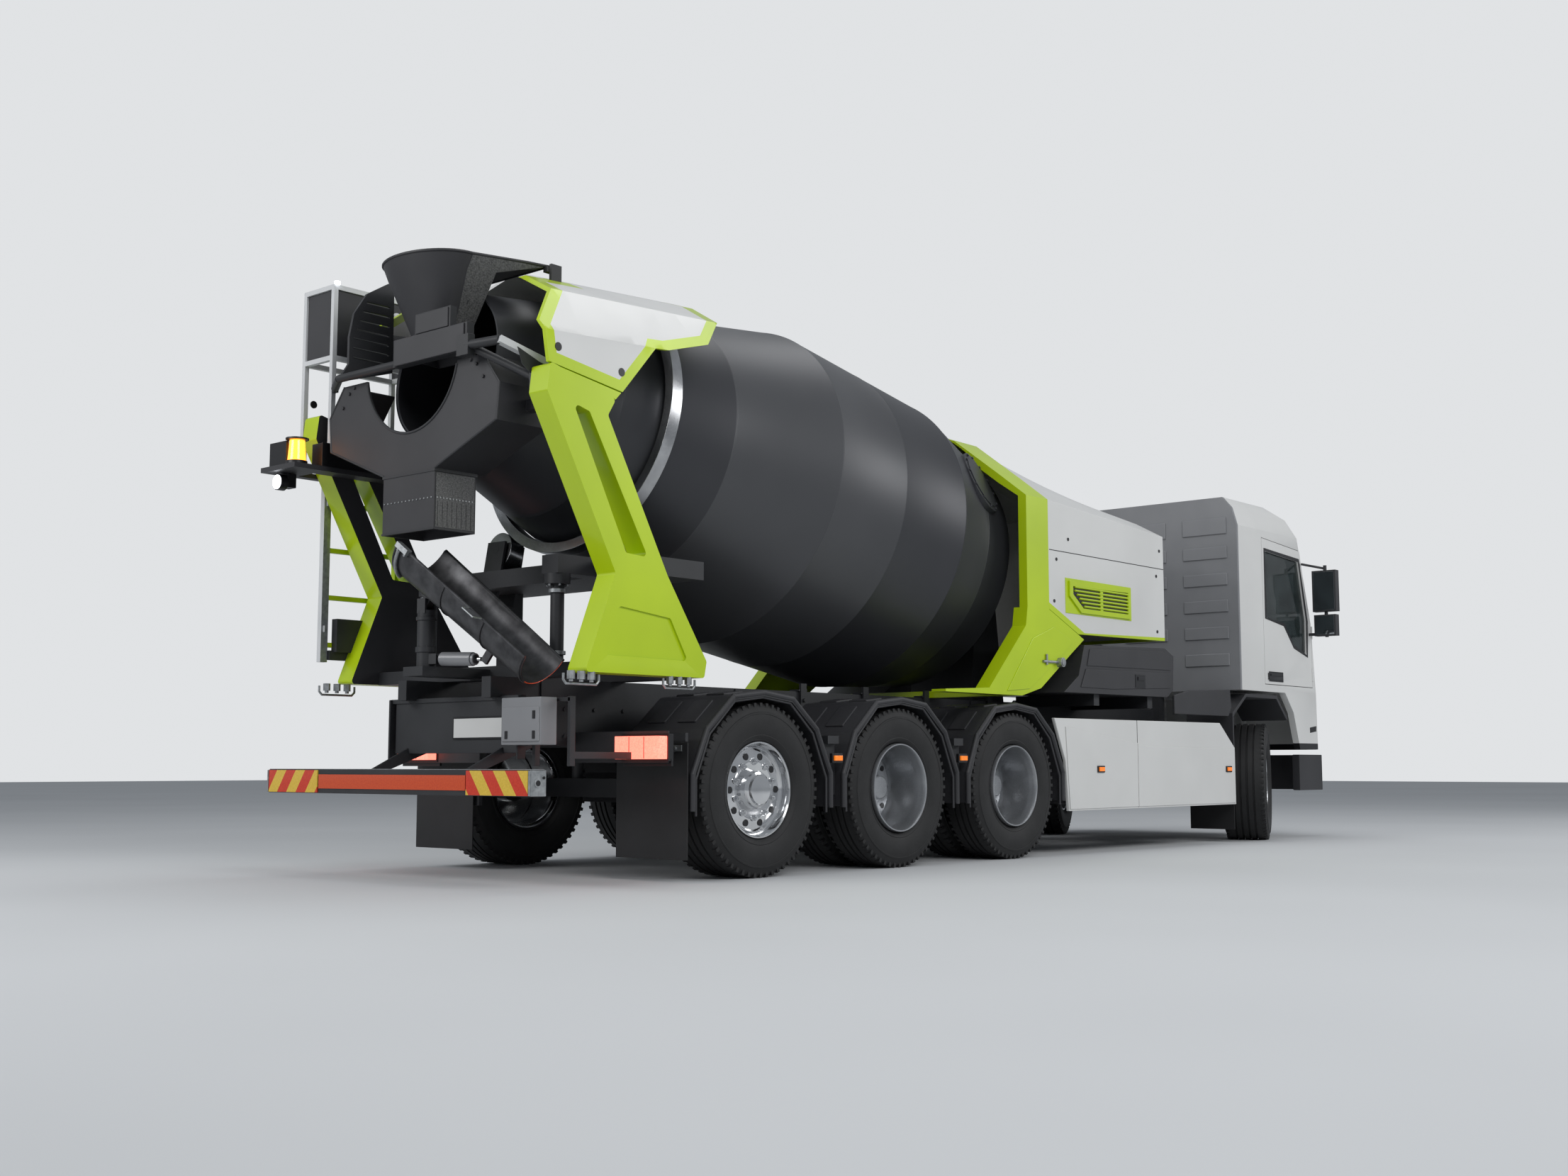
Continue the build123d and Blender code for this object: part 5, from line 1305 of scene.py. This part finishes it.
def trough_point(s, angle, extra=0.0):
    # angle is counted from straight down, in the chute's own section
    radius = 0.205 + (s + 0.24) / 1.14 * (0.170 - 0.205) + extra
    return chute_place @ Vector((s, radius * sin(angle), 0.240 - radius * cos(angle)))


def chute_edges(bm):
    for s in (1, -1):
        add_pipe(bm, [trough_point(t, s * pi / 2, 0.002) for t in (-0.238, 0.33, 0.898)], 0.009, 10)
    for t in (-0.232, 0.890):
        add_pipe(bm, [trough_point(t, radians(a), 0.003) for a in range(-88, 89, 8)], 0.006, 8)
    for t in (0.20, 0.55):
        add_pipe(bm, [trough_point(t, radians(a), 0.003) for a in range(-86, 87, 8)], 0.0035, 8)


one_piece(chute_edges, "chute_edges", worn_steel, body="main_chute")


def chute_clamp(bm):
    for a0 in range(-90, -24, 6):
        p, q = trough_point(-0.20, radians(a0), 0.010), trough_point(-0.20, radians(a0 + 6), 0.010)
        add_rod(bm, p, q, 0.012, 8)
    handle = [trough_point(0.42, radians(-90), 0.01), trough_point(0.43, radians(-90), 0.075),
              trough_point(0.52, radians(-90), 0.075), trough_point(0.53, radians(-90), 0.01)]
    add_pipe(bm, handle, 0.0055, 8)
    for t in (-0.20, -0.14):
        add_rod(bm, trough_point(t, radians(-84), 0.0), trough_point(t, radians(-84), 0.024), 0.009, 6)
    add_box(bm, (-0.225, -0.235, 0.225), (-0.125, -0.195, 0.258), chute_place)


one_piece(chute_clamp, "chute_clamp", galvanised, 1, body="main_chute")
one_piece(lambda bm: add_pipe(bm, [trough_point(0.897, radians(a), -0.004) for a in range(-20, 89, 6)],
                              0.0045, 8), "chute_lip_rubber", orange_strip, body="main_chute")


def swivel_details(bm):
    add_rod(bm, (chute_x, 0, 1.315), (chute_x, 0, 1.345), 0.060, 32)
    add_rod(bm, (chute_x, 0, 1.50), (chute_x, 0, 1.52), 0.060, 32)
    post = Matrix.Translation((chute_x, 0, 0))
    for a in range(0, 360, 60):
        turn = radians(a)
        add_rod(bm, on_circle(post, 0.05, turn, 1.344), on_circle(post, 0.05, turn, 1.352), 0.006, 6)


one_piece(swivel_details, "swivel_collars", frame_paint, 1, body="chute_swivel")


strut_foot, strut_head = Vector((0.075, 0, 1.275)), Vector((0.4472, 0, 1.2630))


def strut_sleeve(bm):
    # the fat painted cylinder round the slim barrel, with a gland nut and two oil ports
    aim = (strut_head - strut_foot).normalized()
    turn = Matrix.Translation((chute_x, 0, 0)) @ Matrix.Rotation(radians(-79), 4, "Z")
    for start, end, radius in ((0.052, 0.280, 0.040), (0.046, 0.054, 0.034), (0.280, 0.299, 0.034)):
        add_rod(bm, turn @ (strut_foot + aim * start), turn @ (strut_foot + aim * end), radius, 36)
    for reach in (0.085, 0.250):
        port = strut_foot + aim * reach
        add_rod(bm, turn @ (port + Vector((0, 0.036, 0))), turn @ (port + Vector((0, 0.052, 0))), 0.010, 6)


one_piece(strut_sleeve, "strut_sleeve", grey_paint, 2, body="strut_barrel")


def post_caps(bm):
    for s in (1, -1):
        x, y = tag_x - 1.07, s * 0.59
        for z in (1.30, 1.66):
            add_rod(bm, (x, y, z), (x, y, z + 0.022), 0.052, 32)
        post = Matrix.Translation((x, y, 0))
        for a in range(0, 360, 60):
            add_rod(bm, on_circle(post, 0.060, radians(a), 1.698), on_circle(post, 0.060, radians(a), 1.712),
                    0.008, 6)


one_piece(post_caps, "post_caps", galvanised, 1)

# %% [markdown]
# A service hatch is bolted on the drum's front cone. It turns with the drum.

# %% Drum hatch
def drum_hatch(bm):
    s, turn = 2.76, radians(62)
    radius = drum_radius(s)
    slope = atan2(1.130 - 0.950, 3.180 - 2.342)
    out = (drum_place @ Matrix.Rotation(turn, 4, "X") @ Matrix.Translation((s, 0, radius))
           @ Matrix.Rotation(slope, 4, "Y"))
    add_rod(bm, out @ Vector((0, 0, -0.03)), out @ Vector((0, 0, 0.010)), 0.245, 64)
    add_rod(bm, out @ Vector((0, 0, 0.010)), out @ Vector((0, 0, 0.018)), 0.205, 64)
    for k in range(12):
        a = 2 * pi * k / 12
        add_rod(bm, on_circle(out, 0.225, a, 0.008), on_circle(out, 0.225, a, 0.022), 0.011, 6)


one_piece(drum_hatch, "drum_hatch", drum_paint, 2, body="drum")

# %% [markdown]
# The studio: a plain pale floor, four large soft lamps and a dim sky. Light Path gives the camera a
# paler backdrop than the sky that lights the truck, so no lamp has to be raised for it.

# %% Floor and lamps
PALE, PALER = "C4C6C8", "CDCFD1"


def pale_floor():
    material, tree, shader = new_material("pale studio floor")
    shader.inputs["Roughness"].default_value = 0.85
    grain = object_noise(tree, 4000, detail=2)
    tint = ramp(tree, grain.outputs["Fac"], [(0.2, hex_colour(PALE)), (0.8, hex_colour(PALER))])
    tree.links.new(tint.outputs["Color"], shader.inputs["Base Color"])
    return material


floor_half = 60
bench = bmesh.new()
bmesh.ops.create_grid(bench, x_segments=1, y_segments=1, size=floor_half)
floor_mesh = bpy.data.meshes.new("studio_floor")
bench.to_mesh(floor_mesh)
bench.free()
floor = bpy.data.objects.new("studio_floor", floor_mesh)
floor_mesh.materials.append(pale_floor())
bpy.context.scene.collection.objects.link(floor)

world = bpy.data.worlds.new("studio sky")
bpy.context.scene.world = world
world.use_nodes = True
sky = world.node_tree
sky.nodes.clear()
path = add_node(sky, "ShaderNodeLightPath")
ambient = add_node(sky, "ShaderNodeBackground", {}, {"Color": hex_colour("DDE3EA"), "Strength": 0.42})
backdrop = add_node(sky, "ShaderNodeBackground", {}, {"Color": hex_colour("E6E8EA"), "Strength": 0.95})
chosen = add_node(sky, "ShaderNodeMixShader", {}, {0: path.outputs["Is Camera Ray"], 1: ambient.outputs[0],
                                                   2: backdrop.outputs[0]})
add_node(sky, "ShaderNodeOutputWorld", {}, {"Surface": chosen.outputs[0]})


def soft_lamp(name, place, target, size, watts):
    lamp = bpy.data.lights.new(name, "AREA")
    lamp.shape = "RECTANGLE"
    lamp.size, lamp.size_y = size
    lamp.energy = watts
    made = bpy.data.objects.new(name, lamp)
    made.location = place
    made.rotation_euler = (Vector(target) - Vector(place)).to_track_quat("-Z", "Y").to_euler()
    bpy.context.scene.collection.objects.link(made)


for name, place, target, size, watts in (
    ("key light", (-7.0, -12.0, 9.0), (0, 0, 1.5), (8, 5), 760),
    ("rear light", (-13.0, 3.0, 6.0), (-3, 0, 1.8), (6, 4), 460),
    ("front light", (9.0, -10.0, 7.0), (3, 0, 1.5), (6, 4), 420),
    ("top light", (0.0, 0.0, 12.0), (0, 0, 0), (12, 5), 360),
):
    soft_lamp(name, place, target, size, watts)

# %% [markdown]
# The camera stands where the photographer stood: low, behind the truck's right rear corner. Its
# place and lens were worked out from the tyres' ellipses and the truck's long edges.

# %% Camera
photo_width_px = 2212
focal_px = 2398.97
camera_yaw, camera_pitch = radians(40.74), radians(5.954)
CAMERA_PLACE = (-10.799, -7.992, 0.665)
lens_camera = bpy.data.cameras.new("photo camera")
lens_camera.sensor_width = 36
lens_camera.lens = 36 * focal_px / photo_width_px
lens_camera.clip_end = 300
camera = bpy.data.objects.new("photo camera", lens_camera)
camera.location = CAMERA_PLACE
look = Vector((cos(camera_yaw) * cos(camera_pitch), sin(camera_yaw) * cos(camera_pitch), sin(camera_pitch)))
camera.rotation_euler = look.to_track_quat("-Z", "Y").to_euler()
bpy.context.scene.collection.objects.link(camera)
bpy.context.scene.camera = camera
bpy.context.scene.view_settings.view_transform = "Standard"
